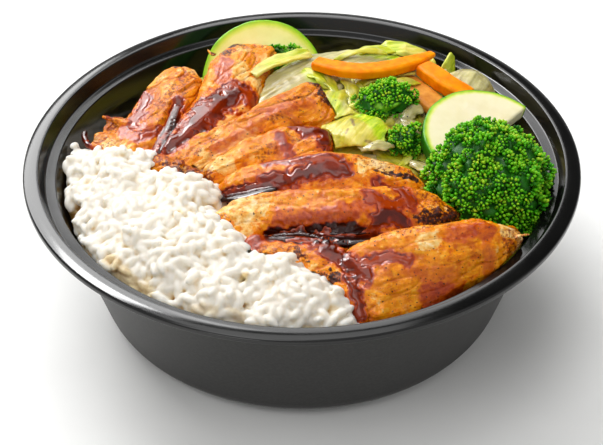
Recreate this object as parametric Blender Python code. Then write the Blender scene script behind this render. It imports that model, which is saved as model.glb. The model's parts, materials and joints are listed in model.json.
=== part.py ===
# Teriyaki chicken bowl: a round takeaway bowl with rice, sliced chicken and vegetables
# Metres, with the origin in the middle of the bowl's base and +Z up
# Points in lists are millimetres: x, y, z from that origin

import math
import random

import bmesh
import bpy
from mathutils import Matrix, Vector, noise
from mathutils.bvhtree import BVHTree

MM = 0.001

# Bowl, turned about the Z axis
RIM_RADIUS = 92.5 * MM
BOWL_HEIGHT = 57.0 * MM
WALL = 1.1 * MM
WALL_RUN = 0.287  # how far the wall leans out for each unit of height
CORNER_RADIUS = 68.15 * MM  # where the wall would meet the base with no fillet
BASE_FILLET = 12.0 * MM
BASE_RECESS = 0.8 * MM
FOOT_INNER_RADIUS = 50.0 * MM
FOOT_SLOPE = 1.2 * MM
LEDGE_HEIGHT = 52.3 * MM
LEDGE_INNER_RADIUS = 82.0 * MM
STEP_RADIUS = 85.6 * MM
FLANGE_INNER_RADIUS = 87.3 * MM
SKIRT_DEPTH = 2.5 * MM
LIP_FILLET = 1.0 * MM
EDGE_FILLET = 0.6 * MM
BOWL_SIDES = 48

# Fit between neighbours
GAP = 0.33 * MM
WALL_GAP = 0.5 * MM
MERGE = 0.002 * MM
FLAT_ANGLE = math.radians(1.5)  # faces that differ less than this are joined

# Beds that carry everything: rice at the front left, cabbage at the back right
SPLIT_OFFSET = -10.0  # the beds part along x + y = this, in millimetres
SPLIT_GAP = 0.8
BED_BASE = 47.0
BED_DROP = 10.0  # how far a bed falls from the middle to the wall
BED_REACH = 80.0
BED_LENGTH = 176.0
BED_CEILING = 70.0 * MM
RICE_RISE = 11.5
CABBAGE_RISE = 13.0
CABBAGE_TOP = (22.0, 36.0)
CABBAGE_SPREAD = 34.0
# Where the rice mound starts: how far along the split line, and how far out from it
RICE_START = (
    (-70, 38), (-56, 36), (-40, 30), (-25, 22), (-9, 25),
    (4, 37), (20, 37), (33, 35), (48, 30), (64, 31),
)
MOUND_FOOT = 9.0
MOUND_SHOULDER = 5.0

# Rice grains
GRAIN_LENGTH = 6.6 * MM
GRAIN_WIDTH = 2.9 * MM
GRAIN_SIDES = 5
GRAIN_COUNT = 58
GRAIN_SPACING = 7.0 * MM

# Chicken
SLICE_STATIONS = 11
SLICE_SIDES = 10
SLICE_BOXINESS = 4.2
SLICE_RELIEF = 1.5
EDGE_WANDER = 1.5  # how far a slice's upper and lower edges stray from their lines

# Vegetables
ZUCCHINI_RADIUS = 22.3 * MM
ZUCCHINI_THICKNESS = 6.0 * MM
ZUCCHINI_BEVEL = 0.45 * MM
LEAF_THICKNESS = 1.0 * MM
GUARD_SCALE = 1.07
STEM_SIDES = 6


def clear_scene():
    for thing in list(bpy.data.objects):
        bpy.data.objects.remove(thing, do_unlink=True)


def make_material(name, colour, roughness):
    material = bpy.data.materials.new(name)
    material.use_nodes = True
    shader = material.node_tree.nodes["Principled BSDF"]
    shader.inputs["Base Color"].default_value = (*colour, 1.0)
    shader.inputs["Roughness"].default_value = roughness
    shader.inputs["Metallic"].default_value = 0.0
    return material


def add_object(name, bm, material=None):
    mesh = bpy.data.meshes.new(name)
    bm.to_mesh(mesh)
    bm.free()
    made = bpy.data.objects.new(name, mesh)
    bpy.context.scene.collection.objects.link(made)
    if material is not None:
        mesh.materials.append(material)
    return made


def smooth_point(points, t):
    # A point at share t of the length of a Catmull-Rom curve through the points
    spans = [(Vector(b[:3]) - Vector(a[:3])).length for a, b in zip(points, points[1:])]
    goal = min(max(t, 0.0), 1.0) * sum(spans)
    i = 0
    while i < len(spans) - 1 and goal > spans[i]:
        goal -= spans[i]
        i += 1
    u = min(goal / spans[i], 1.0)
    p1 = Vector(points[i])
    p2 = Vector(points[i + 1])
    p0 = Vector(points[i - 1]) if i > 0 else p1 * 2 - p2
    p3 = Vector(points[i + 2]) if i + 2 < len(points) else p2 * 2 - p1
    return 0.5 * (
        p1 * 2
        + (p2 - p0) * u
        + (p0 * 2 - p1 * 5 + p2 * 4 - p3) * u * u
        + (p1 * 3 - p0 - p2 * 3 + p3) * u * u * u
    )


def loft(rings, push=0.0):
    # A closed body through rings of points, with a low cone on each end
    bm = bmesh.new()
    loops = [[bm.verts.new(point) for point in ring] for ring in rings]
    sides = len(rings[0])
    for a, b in zip(loops, loops[1:]):
        for k in range(sides):
            bm.faces.new((a[k], a[(k + 1) % sides], b[(k + 1) % sides], b[k]))
    for end, inner in ((0, 1), (-1, -2)):
        middle = sum((v.co for v in loops[end]), Vector()) / sides
        inward = sum((v.co for v in loops[inner]), Vector()) / sides
        tip = bm.verts.new(middle + (middle - inward).normalized() * push)
        for k in range(sides):
            pair = (loops[end][k], loops[end][(k + 1) % sides])
            bm.faces.new((*pair, tip) if end else (*reversed(pair), tip))
    bmesh.ops.recalc_face_normals(bm, faces=bm.faces)
    return bm


def tidied(mesh, flat_angle, split):
    # One closed body of triangles: merged, without slivers, and only its largest piece
    bm = bmesh.new()
    bm.from_mesh(mesh)
    bmesh.ops.remove_doubles(bm, verts=bm.verts, dist=MERGE)
    bmesh.ops.dissolve_degenerate(bm, edges=bm.edges, dist=MERGE)
    bmesh.ops.dissolve_limit(bm, angle_limit=flat_angle, verts=bm.verts, edges=bm.edges)
    bmesh.ops.triangulate(bm, faces=bm.faces, ngon_method=split)
    left = set(bm.faces)
    islands = []
    while left:
        island = [left.pop()]
        for face in island:
            for edge in face.edges:
                for other in edge.link_faces:
                    if other in left:
                        left.discard(other)
                        island.append(other)
        islands.append(island)
    islands.sort(key=skin_area)
    for island in islands[:-1]:
        bmesh.ops.delete(bm, geom=island, context="FACES")
    bmesh.ops.recalc_face_normals(bm, faces=bm.faces)
    return bm


def skin_area(faces):
    return sum(face.calc_area() for face in faces)


def inflated(body, gap):
    # A copy of a body, a gap larger all round
    bm = bmesh.new()
    bm.from_mesh(body.data)
    bm.normal_update()
    moves = [v.normal * gap * min(v.calc_shell_factor(), 1.6) for v in bm.verts]
    for vert, move in zip(bm.verts, moves):
        vert.co += move
    return add_object(body.name + "_clearance", bm)


def joined_mesh(body, operation, other, group, solver):
    modifier = body.modifiers.new("join", "BOOLEAN")
    modifier.operation = operation
    modifier.solver = solver
    if group is None:
        modifier.object = other
    else:
        modifier.operand_type = "COLLECTION"
        modifier.collection = group
    bpy.context.view_layer.update()
    depsgraph = bpy.context.evaluated_depsgraph_get()
    joined = bpy.data.meshes.new_from_object(body.evaluated_get(depsgraph))
    body.modifiers.remove(modifier)
    return joined


def is_closed(bm):
    return len(bm.faces) > 3 and all(edge.is_manifold for edge in bm.edges)


def boolean(body, operation, other=None, group=None):
    # The exact solver first, and another way where that leaves an open mesh
    for solver in ("EXACT", "MANIFOLD"):
        joined = joined_mesh(body, operation, other, group, solver)
        for flat_angle, split in ((FLAT_ANGLE, "BEAUTY"), (FLAT_ANGLE, "EAR_CLIP"), (0.0, "BEAUTY")):
            bm = tidied(joined, flat_angle, split)
            if is_closed(bm):
                bm.to_mesh(body.data)
                bm.free()
                bpy.data.meshes.remove(joined)
                return True
            bm.free()
        bpy.data.meshes.remove(joined)
    return False


def boxes_meet(a, b, margin):
    for axis in range(3):
        a_values = [v.co[axis] for v in a.data.vertices]
        b_values = [v.co[axis] for v in b.data.vertices]
        if min(a_values) > max(b_values) + margin or min(b_values) > max(a_values) + margin:
            return False
    return True


def surface_tree(body):
    bm = bmesh.new()
    bm.from_mesh(body.data)
    bmesh.ops.triangulate(bm, faces=bm.faces)
    tree = BVHTree.FromBMesh(bm)
    bm.free()
    return tree


def carve(body, neighbours):
    # The body gives way to each neighbour that it would touch
    for other in neighbours:
        if not boxes_meet(body, other, 2 * GAP):
            continue
        for gap in (GAP, GAP * 1.06, GAP * 1.12, GAP * 1.18):
            cutter = inflated(other, gap)
            crossed = surface_tree(body).overlap(surface_tree(cutter))
            done = not crossed or boolean(body, "DIFFERENCE", cutter)
            bpy.data.objects.remove(cutter, do_unlink=True)
            if done:
                break
        else:
            raise ValueError(f"{other.name} leaves {body.name} open")


def fuse(body, pieces):
    # One union of a body with the pieces that stand on it
    group = bpy.data.collections.new(body.name + "_pieces")
    bpy.context.scene.collection.children.link(group)
    for piece in pieces:
        bpy.context.scene.collection.objects.unlink(piece)
        group.objects.link(piece)
    boolean(body, "UNION", group=group)
    for piece in pieces:
        bpy.data.objects.remove(piece, do_unlink=True)
    bpy.data.collections.remove(group)


# Bowl


def rounded_path(corners):
    # A path through corners (radius, height, fillet, steps), each fillet as an arc
    path = []
    for i, (radius, height, fillet, steps) in enumerate(corners):
        here = Vector((radius, height))
        if not fillet:
            path.append(here)
            continue
        before = (Vector(corners[i - 1][:2]) - here).normalized()
        after = (Vector(corners[i + 1][:2]) - here).normalized()
        half = before.angle(after) / 2
        centre = here + (before + after).normalized() * fillet / math.sin(half)
        start = here + before * fillet / math.tan(half) - centre
        end = here + after * fillet / math.tan(half) - centre
        turn = math.atan2(start.cross(end), start.dot(end))
        for k in range(steps + 1):
            path.append(centre + Matrix.Rotation(turn * k / steps, 2) @ start)
    return path


def turned(path, sides):
    bm = bmesh.new()
    verts = [bm.verts.new((point.x, 0.0, point.y)) for point in path]
    for a, b in zip(verts, verts[1:]):
        bm.edges.new((a, b))
    bmesh.ops.spin(
        bm,
        geom=bm.verts[:] + bm.edges[:],
        cent=(0, 0, 0),
        axis=(0, 0, 1),
        angle=math.tau,
        steps=sides,
        use_merge=True,
    )
    bmesh.ops.remove_doubles(bm, verts=bm.verts, dist=MERGE)
    bmesh.ops.recalc_face_normals(bm, faces=bm.faces)
    return bm


def outer_wall(height):
    return CORNER_RADIUS + WALL_RUN * height


def inner_wall(height):
    return outer_wall(height) - WALL * math.sqrt(1 + WALL_RUN**2)


def make_bowl(material):
    under_ledge = LEDGE_HEIGHT - WALL
    flange_under = BOWL_HEIGHT - WALL
    outside = [
        (0.0, BASE_RECESS, 0, 0),
        (FOOT_INNER_RADIUS, BASE_RECESS, 0, 0),
        (FOOT_INNER_RADIUS + FOOT_SLOPE, 0.0, 0, 0),
        (CORNER_RADIUS, 0.0, BASE_FILLET, 3),
        (outer_wall(under_ledge), under_ledge, 0, 0),
        (STEP_RADIUS + WALL, under_ledge, 0, 0),
        (FLANGE_INNER_RADIUS + WALL, flange_under, 0, 0),
        (RIM_RADIUS - WALL, flange_under, 0, 0),
        (RIM_RADIUS - WALL, BOWL_HEIGHT - SKIRT_DEPTH, 0, 0),
        (RIM_RADIUS, BOWL_HEIGHT - SKIRT_DEPTH, 0, 0),
        (RIM_RADIUS, BOWL_HEIGHT, LIP_FILLET, 2),
    ]
    floor = BASE_RECESS + WALL
    inside = [
        (FLANGE_INNER_RADIUS, BOWL_HEIGHT, EDGE_FILLET, 1),
        (STEP_RADIUS, LEDGE_HEIGHT, 0, 0),
        (LEDGE_INNER_RADIUS, LEDGE_HEIGHT, EDGE_FILLET, 1),
        (inner_wall(floor), floor, BASE_FILLET - WALL, 3),
        (0.0, floor, 0, 0),
    ]
    bowl = add_object("bowl", turned(rounded_path(outside + inside), BOWL_SIDES), material)
    bowl.data.shade_smooth()
    bowl.data.set_sharp_from_angle(angle=math.radians(35))
    return bowl


# Beds of rice and cabbage


def bed_height(x, y):
    return BED_BASE - BED_DROP * min(math.hypot(x, y) / BED_REACH, 1.0) ** 4


def smooth_step(low, high, value):
    share = min(max((value - low) / (high - low), 0.0), 1.0)
    return share * share * (3 - 2 * share)


def lumps(x, y, size, seed):
    return noise.noise(Vector((x / size, y / size, seed)))


def rice_start(along):
    for (a, low), (b, high) in zip(RICE_START, RICE_START[1:]):
        if along < b:
            return low + (high - low) * smooth_step(a, b, along)
    return RICE_START[-1][1]


def rice_height(x, y):
    # Low under the chicken, then a lumpy mound out to the wall
    out = (SPLIT_OFFSET - x - y) / math.sqrt(2)
    start = rice_start((x - y) / math.sqrt(2))
    mound = smooth_step(start - MOUND_FOOT, start + MOUND_SHOULDER, out)
    edge = smooth_step(84.0, 70.0, math.hypot(x, y))
    relief = 3.2 * lumps(x, y, 11.0, 4.0) + 1.4 * lumps(x, y, 5.0, 9.0)
    return bed_height(x, y) + mound * (RICE_RISE + relief - 1.5 * (1 - edge))


def cabbage_height(x, y):
    far = math.hypot(x - CABBAGE_TOP[0], y - CABBAGE_TOP[1])
    rise = CABBAGE_RISE * math.exp(-0.5 * (far / CABBAGE_SPREAD) ** 2)
    return bed_height(x, y) + rise + 0.8 * lumps(x, y, 7.0, 2.0)


def bed_point(side, along, out):
    # Where a place along the split line and out from it lies, in x and y
    away = side * out + (SPLIT_OFFSET + side * SPLIT_GAP) / math.sqrt(2)
    return (away + along) / math.sqrt(2), (away - along) / math.sqrt(2)


def make_bed(name, side, height, steps, material):
    # The bowl's cavity up to a height field, on one side of the split
    floor = BASE_RECESS + WALL + WALL_GAP
    top = BED_CEILING
    cavity = [
        (0.0, floor, 0, 0),
        (inner_wall(floor) - WALL_GAP, floor, BASE_FILLET - WALL, 3),
        (inner_wall(top) - WALL_GAP, top, 0, 0),
        (0.0, top, 0, 0),
    ]
    bed = add_object(name, turned(rounded_path(cavity), BOWL_SIDES // 2), material)
    bm = bmesh.new()
    grid = []
    count, across = steps
    for i in range(count + 1):
        row = []
        for out in across:
            x, y = bed_point(side, BED_LENGTH * (i / count - 0.5), out)
            top_vert = bm.verts.new((x * MM, y * MM, height(x, y) * MM))
            row.append((top_vert, bm.verts.new((x * MM, y * MM, 0.0))))
        grid.append(row)
    last = len(across) - 1
    for i in range(count):
        for j in range(last):
            for level in (0, 1):
                a, b, c, d = (grid[i][j], grid[i + 1][j], grid[i + 1][j + 1], grid[i][j + 1])
                bm.faces.new((a[level], b[level], c[level]))
                bm.faces.new((a[level], c[level], d[level]))
    rim = [grid[i][0] for i in range(count + 1)]
    rim += [grid[count][j] for j in range(1, last + 1)]
    rim += [grid[i][last] for i in range(count - 1, -1, -1)]
    rim += [grid[0][j] for j in range(last - 1, 0, -1)]
    for a, b in zip(rim, rim[1:] + rim[:1]):
        bm.faces.new((a[0], b[0], b[1], a[1]))
    bmesh.ops.recalc_face_normals(bm, faces=bm.faces)
    block = add_object(name + "_block", bm)
    boolean(bed, "INTERSECT", block)
    bpy.data.objects.remove(block, do_unlink=True)
    return bed


# Chicken


def chicken_slice(name, crest, foot, thickness, bulge, ends, seed, material):
    # A rounded slab between its upper and lower edges, with fibres along it
    # ends: how square each end is, from 2 for round to 10 for a straight cut
    rings = []
    for i in range(SLICE_STATIONS):
        t = 0.5 - 0.5 * math.cos(math.pi * (i + 0.5) / SLICE_STATIONS)
        upper = smooth_point(crest, t) * MM
        lower = smooth_point(foot, t) * MM
        ahead = smooth_point(crest, t + 0.02) + smooth_point(foot, t + 0.02)
        behind = smooth_point(crest, t - 0.02) + smooth_point(foot, t - 0.02)
        across = lower - upper
        up = (ahead - behind).cross(across).normalized()
        if up.z < 0:
            up = -up
        way = across.normalized() * EDGE_WANDER * MM
        upper += way * noise.noise(Vector((t * 7.0, 0.5, seed + 11.0)))
        lower += way * noise.noise(Vector((t * 7.0, 0.5, seed + 23.0)))
        across = lower - upper
        power = ends[0] if t < 0.5 else ends[1]
        size = (1 - abs(2 * t - 1) ** power) ** (1 / power)
        centre = (upper + lower) / 2 - up * thickness * MM / 2
        ring = []
        for k in range(SLICE_SIDES):
            angle = math.tau * (k + 0.5) / SLICE_SIDES
            c = math.cos(angle)
            s = math.sin(angle)
            flat = math.copysign(abs(c) ** (2 / SLICE_BOXINESS), c)
            tall = math.copysign(abs(s) ** (2 / SLICE_BOXINESS), s)
            rise = tall * thickness / 2
            if s > 0:
                rise += bulge * (1 - flat * flat)
                rise += SLICE_RELIEF * noise.noise(Vector((t * 5.0, flat * 2.6, seed)))
            ring.append(centre - across * flat / 2 * size + up * rise * MM * size)
        rings.append(ring)
    return add_object(name, loft(rings, push=0.8 * MM), material)


def torn_strand(points, width, material_body):
    # A thin fibre that curls away from a slice
    rings = []
    count = 6
    for i in range(count):
        t = i / (count - 1)
        here = smooth_point(points, t) * MM
        ahead = smooth_point(points, t + 0.05) - smooth_point(points, t - 0.05)
        side = ahead.cross(Vector((0, 0, 1))).normalized()
        up = side.cross(ahead).normalized()
        reach = width * MM * (1.0 - 0.75 * t) / 2
        rings.append([here + way * reach for way in (side, up, -side, -up)])
    return add_object(material_body.name + "_strand", loft(rings))


# Vegetables


def half_moon(name, centre, facing, chord, radius, thickness, material, seed):
    # Half of a round slice: chord is the way its straight edge runs
    facing = Vector(facing).normalized()
    chord = Vector(chord)
    chord = (chord - facing * chord.dot(facing)).normalized()
    outward = facing.cross(chord)
    bm = bmesh.new()
    steps = 18
    outline = []
    for k in range(steps + 1):
        angle = math.pi * k / steps
        c = math.cos(angle)
        s = math.sin(angle)
        reach = radius * (1 + 0.015 * noise.noise(Vector((c * 2, s * 2, seed))))
        outline.append((chord * c + outward * s) * reach)
    rings = []
    bevel = ZUCCHINI_BEVEL
    for depth, inset in ((0.0, bevel), (bevel, 0.0), (thickness - bevel, 0.0), (thickness, bevel)):
        share = 1 - inset / radius
        rings.append([bm.verts.new(Vector(centre) * MM + p * share - facing * depth) for p in outline])
    for a, b in zip(rings, rings[1:]):
        for k in range(len(outline)):
            m = (k + 1) % len(outline)
            bm.faces.new((a[k], a[m], b[m], b[k]))
    bm.faces.new(rings[0])
    bm.faces.new(rings[-1])
    bmesh.ops.recalc_face_normals(bm, faces=bm.faces)
    return add_object(name, bm, material)


def carrot_stick(name, line, width, height, seed, material, taper=0.0):
    # taper: how much of the width is gone at the far end
    rings = []
    count = 9
    corners = [(-1, -0.7), (-0.7, -1), (0.7, -1), (1, -0.7)]
    corners += [(-a, -b) for a, b in corners]
    for i in range(count):
        t = i / (count - 1)
        here = smooth_point(line, t) * MM
        ahead = smooth_point(line, t + 0.04) - smooth_point(line, t - 0.04)
        side = ahead.cross(Vector((0, 0, 1))).normalized()
        up = side.cross(ahead).normalized()
        share = 1 - 0.12 * abs(2 * t - 1) ** 4 - taper * smooth_step(0.7, 1.0, t)
        wide = width * MM / 2 * share * (1 + 0.1 * noise.noise(Vector((t * 4, 0, seed))))
        tall = height * MM / 2 * share
        rings.append([here + side * a * wide + up * b * tall for a, b in corners])
    return add_object(name, loft(rings), material)


def ball(centre, radii, turn, detail):
    bm = bmesh.new()
    bmesh.ops.create_icosphere(bm, subdivisions=detail, radius=1.0)
    for vert in bm.verts:
        vert.co = Vector(v * r for v, r in zip(vert.co, radii))
    bmesh.ops.transform(bm, matrix=Matrix.Translation(centre) @ turn, verts=bm.verts)
    return bm


def crown_turn(lean):
    return Vector((0, 0, 1)).rotation_difference(Vector(lean)).to_matrix().to_4x4()


def floret(name, material, crown, radii, lean, foot, stem, clusters, relief, detail, seed):
    # A broccoli head: a crown with a bump for each bud cluster, on a short stem
    # radii reach to the tops of the bumps, and relief is how far those stand out
    draw = random.Random(seed)
    golden = math.pi * (3 - math.sqrt(5))
    spots = []
    for k in range(clusters):
        height = 1 - 2 * (k + 0.5) / clusters
        ring = math.sqrt(1 - height * height)
        way = Vector((ring * math.cos(golden * k), ring * math.sin(golden * k), height))
        spots.append((way, draw.uniform(0.75, 1.1)))
    spread = 2.1 / math.sqrt(clusters)
    centre = Vector(crown) * MM
    turn = crown_turn(lean)
    bm = ball(Vector(), (1, 1, 1), Matrix(), detail)
    for vert in bm.verts:
        bump = 0.0
        for way, size in spots:
            near = (vert.co - way).length / (spread * size)
            if near < 1:
                bump = max(bump, size * math.sqrt(1 - near * near))
        vert.co = Vector(v * (r - relief + relief * bump) for v, r in zip(vert.co, radii)) * MM
    bmesh.ops.transform(bm, matrix=Matrix.Translation(centre) @ turn, verts=bm.verts)
    head = add_object(name, bm, material)
    fuse(head, [add_object(name + "_stem", stem_body(crown, foot, stem))])
    return head


def stem_body(crown, foot, width):
    centre = Vector(crown) * MM
    base = Vector(foot) * MM
    side = (centre - base).orthogonal().normalized()
    up = side.cross(centre - base).normalized()
    turns = [k * math.tau / STEM_SIDES for k in range(STEM_SIDES)]
    rings = []
    for t in (0.0, 0.45, 0.9):
        reach = width * MM / 2 * (0.85 + 0.5 * t * t)
        here = base.lerp(centre, t)
        rings.append([here + (side * math.cos(a) + up * math.sin(a)) * reach for a in turns])
    return loft(rings)


def crown_guard(head, shape):
    # The room that a head takes up, as a plain oval on a stem for its neighbours to keep clear of
    crown = shape["crown"]
    radii = [r * GUARD_SCALE * MM for r in shape["radii"]]
    guard = add_object(head.name + "_guard", ball(Vector(crown) * MM, radii, crown_turn(shape["lean"]), 3))
    fuse(guard, [add_object(head.name + "_room", stem_body(crown, shape["foot"], shape["stem"]))])
    guard.hide_render = True
    guard.display_type = "WIRE"
    return guard


def leaf(name, line, seed, material, curl=0.0, ruffle=0.8, thickness=LEAF_THICKNESS, steps=(9, 4)):
    # A thin wavy sheet along a line of (x, y, z, width, roll in degrees)
    grid = []
    for i in range(steps[0] + 1):
        t = i / steps[0]
        spot = smooth_point(line, t)
        here = Vector(spot[:3]) * MM
        ahead = Vector((smooth_point(line, t + 0.04) - smooth_point(line, t - 0.04))[:3]).normalized()
        side = ahead.cross(Vector((0, 0, 1))).normalized()
        roll = Matrix.Rotation(math.radians(spot[4]), 3, ahead)
        side = roll @ side
        up = side.cross(ahead).normalized()
        row = []
        for j in range(steps[1] + 1):
            u = 2 * j / steps[1] - 1
            wave = ruffle * abs(u) * noise.noise(Vector((t * 5.5, u * 1.3, seed)))
            lift = curl * spot[3] * u * u + wave * 2.0
            row.append(here + side * u * spot[3] * MM / 2 + up * lift * MM)
        grid.append(row)
    return sheet(name, grid, thickness, material)


def sheet(name, grid, thickness, material):
    # A closed sheet from a grid of points, both faces split into triangles alike
    bm = bmesh.new()
    rows = len(grid)
    columns = len(grid[0])
    layers = ([], [])
    for i in range(rows):
        for j in range(columns):
            down = grid[min(i + 1, rows - 1)][j] - grid[max(i - 1, 0)][j]
            right = grid[i][min(j + 1, columns - 1)] - grid[i][max(j - 1, 0)]
            up = down.cross(right).normalized()
            for layer, sign in zip(layers, (0.5, -0.5)):
                layer.append(bm.verts.new(grid[i][j] + up * thickness * sign))
    for i in range(rows - 1):
        for j in range(columns - 1):
            a = i * columns + j
            b = a + columns
            for layer in layers:
                bm.faces.new((layer[a], layer[b], layer[b + 1]))
                bm.faces.new((layer[a], layer[b + 1], layer[a + 1]))
    rim = list(range(columns))
    rim += [i * columns + columns - 1 for i in range(1, rows)]
    rim += [(rows - 1) * columns + j for j in range(columns - 2, -1, -1)]
    rim += [i * columns for i in range(rows - 2, 0, -1)]
    for a, b in zip(rim, rim[1:] + rim[:1]):
        bm.faces.new((layers[0][a], layers[0][b], layers[1][b], layers[1][a]))
    bmesh.ops.recalc_face_normals(bm, faces=bm.faces)
    return add_object(name, bm, material)


# Grains on the bare rice


def grain(centre, way, up, length, width):
    side = up.cross(way).normalized()
    up = way.cross(side).normalized()
    rings = []
    for place in (-0.25, 0.25):
        ring = []
        for k in range(GRAIN_SIDES):
            angle = math.tau * k / GRAIN_SIDES
            spoke = side * math.cos(angle) + up * math.sin(angle)
            ring.append(centre + way * length * place + spoke * width / 2)
        rings.append(ring)
    return loft(rings, push=length * 0.25)


def keeps_clear(bm, trees, gap):
    points = [v.co.copy() for v in bm.verts]
    points += [f.calc_center_median() for f in bm.faces]
    shape = BVHTree.FromBMesh(bm)
    for tree in trees:
        if tree.overlap(shape):
            return False
        if any(tree.find_nearest(point, gap)[0] is not None for point in points):
            return False
    return True


def inside_cavity(bm):
    return all(math.hypot(v.co.x, v.co.y) < inner_wall(v.co.z) - WALL_GAP for v in bm.verts)


def scatter_grains(trees):
    # Grains spread over the open part of the mound, each at least a spacing from the others
    draw = random.Random(11)
    chosen = []
    pieces = []
    for _ in range(5000):
        if len(pieces) >= GRAIN_COUNT:
            break
        x = draw.uniform(-80, 18)
        y = draw.uniform(-80, 12)
        if (SPLIT_OFFSET - x - y) / math.sqrt(2) < rice_start((x - y) / math.sqrt(2)) - MOUND_FOOT:
            continue
        sunk = GRAIN_WIDTH * draw.uniform(0.0, 0.3)
        spot = Vector((x * MM, y * MM, rice_height(x, y) * MM + sunk))
        if any((spot - other).length < GRAIN_SPACING for other in chosen):
            continue
        way = Vector((draw.uniform(-1, 1), draw.uniform(-1, 1), draw.uniform(-0.4, 0.4))).normalized()
        length = GRAIN_LENGTH * draw.uniform(0.85, 1.12)
        width = GRAIN_WIDTH * draw.uniform(0.9, 1.12)
        bm = grain(spot, way, Vector((0, 0, 1)), length, width)
        if not inside_cavity(bm) or not keeps_clear(bm, trees, GAP):
            bm.free()
            continue
        chosen.append(spot)
        pieces.append(add_object(f"grain_{len(pieces)}", bm))
    return pieces


# What the bowl holds, in the order in which each piece gives way to those before it


def settle(body, placed, guard=None):
    carve(body, placed)
    body.data.shade_smooth()
    body.data.set_sharp_from_angle(angle=math.radians(40))
    placed.append(guard or body)
    return body


def add_beds(placed, rice_skin, pale_leaf):
    rice_rows = (24, [0.0, 11.0, 19.0] + [24.0 + 5.5 * k for k in range(11)])
    cabbage_rows = (16, [10.0 * k for k in range(10)])
    rice = make_bed("rice", -1, rice_height, rice_rows, rice_skin)
    cabbage = make_bed("cabbage", 1, cabbage_height, cabbage_rows, pale_leaf)
    placed += [rice, cabbage]
    return rice


def add_front_chicken(placed, skin):
    crest = [(6, -54, 57), (14, -51, 60.5), (23, -50, 63), (33, -50, 65)]
    crest += [(45, -48, 65.5), (58, -46, 64), (70, -45, 58.5)]
    foot = [(19, -79, 46), (26, -77, 46.5), (34, -73, 47), (42, -69, 48)]
    foot += [(51, -63, 49.5), (61, -56, 51), (70, -46, 53)]
    settle(chicken_slice("chicken_8", crest, foot, 11.5, 2.0, (5, 5), 8, skin), placed)

    crest = [(-31, -34, 57), (-24, -29, 59.5), (-15, -28, 61), (-5, -28, 63), (6, -30, 65)]
    crest += [(18, -30, 66), (31, -27, 65), (42, -26, 62.5), (51, -31, 57)]
    foot = [(-31, -40, 53), (-21, -43, 53.5), (-14, -43, 54), (-4, -44, 55), (7, -45, 55)]
    foot += [(21, -46, 55), (31, -44, 54), (42, -40, 53), (52, -34, 52)]
    settle(chicken_slice("chicken_6", crest, foot, 12.0, 1.8, (6, 5), 6, skin), placed)


def add_middle_chicken(placed, skin):
    crest = [(-28, -13, 57), (-20, -11, 60.5), (-12, -12, 63), (-3, -12, 65)]
    crest += [(10, -11, 66), (22, -11, 65), (34, -13, 62), (42, -19, 57)]
    foot = [(-28, -22, 52), (-20, -26, 53), (-10, -27, 54), (0, -27, 55)]
    foot += [(14, -27, 56), (26, -25, 56), (35, -23, 55), (42, -22, 54)]
    settle(chicken_slice("chicken_5", crest, foot, 11.0, 1.4, (6, 4), 5, skin), placed)

    crest = [(-34, -9, 56.5), (-24, -2, 60), (-16, 4, 62), (-8, 6, 63), (3, 9, 63), (11, 9.5, 61)]
    foot = [(-29, -15, 52), (-21, -11, 54), (-14, -10, 55), (-4, -9, 56), (4, -8, 57), (11, -6, 57)]
    settle(chicken_slice("chicken_4", crest, foot, 11.0, 1.4, (8, 6), 4, skin), placed)

    crest = [(-49, -1, 55), (-43, 3, 57), (-35, 8, 59.5), (-23, 13, 62.5)]
    crest += [(-15, 18, 65), (-8, 23, 66.5), (5, 32, 68.5)]
    foot = [(-38, -9, 49), (-31, -8, 53), (-24, -2, 55), (-16, 2, 57)]
    foot += [(-9, 7, 58), (0, 10, 59), (14, 13, 59)]
    settle(chicken_slice("chicken_3", crest, foot, 11.5, 1.2, (8, 9), 3, skin), placed)


def add_back_chicken(placed, skin):
    crest = [(-27, 60, 63.5), (-30, 51, 64.5), (-34, 42, 63.5)]
    crest += [(-38, 27, 61), (-43, 15, 59), (-50, 0, 55)]
    foot = [(-7, 59, 62.5), (-10, 49, 62.5), (-12, 40, 60.5)]
    foot += [(-16, 27, 59), (-27, 13, 57), (-43, 1, 53)]
    settle(chicken_slice("chicken_2", crest, foot, 10.5, 1.4, (10, 6), 2, skin), placed)

    crest = [(-46, 47, 62.5), (-53, 41, 61), (-58, 33, 58.5)]
    crest += [(-63, 23, 55.5), (-68, 15, 52), (-72, 6, 49.5)]
    foot = [(-37, 45, 62), (-35, 40, 61), (-37, 28, 59)]
    foot += [(-41, 17, 57), (-46, 5, 55), (-54, -3, 53)]
    body = chicken_slice("chicken_1", crest, foot, 10.0, 1.6, (5, 6), 1, skin)
    hook = [(-62, 9, 49), (-70, 10, 50.5), (-74, 13, 51), (-75, 17, 51.5), (-75, 20, 52)]
    flap = [(-58, 18, 54), (-62, 20, 54.5), (-66, 22, 55), (-69, 22.5, 55.5)]
    fuse(body, [torn_strand(hook, 2.6, body), torn_strand(flap, 5.0, body)])
    settle(body, placed)

    crest = [(-23, -50, 55), (-18, -46, 58), (-10, -42, 58.5), (0, -42, 58.5)]
    crest += [(8, -44, 58.5), (15, -49, 58), (20, -60, 56), (22, -75, 50)]
    foot = [(-20, -55, 52), (-12, -60, 52), (-4, -62, 52), (3, -64, 51)]
    foot += [(8, -67, 50), (11, -70, 49), (13, -74, 48), (15, -78, 46)]
    settle(chicken_slice("chicken_7", crest, foot, 10.0, 1.4, (4, 4), 7, skin), placed)


def add_broccoli(placed, name, buds, shape):
    head = floret(name, buds, **shape)
    settle(head, placed, crown_guard(head, shape))


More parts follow.
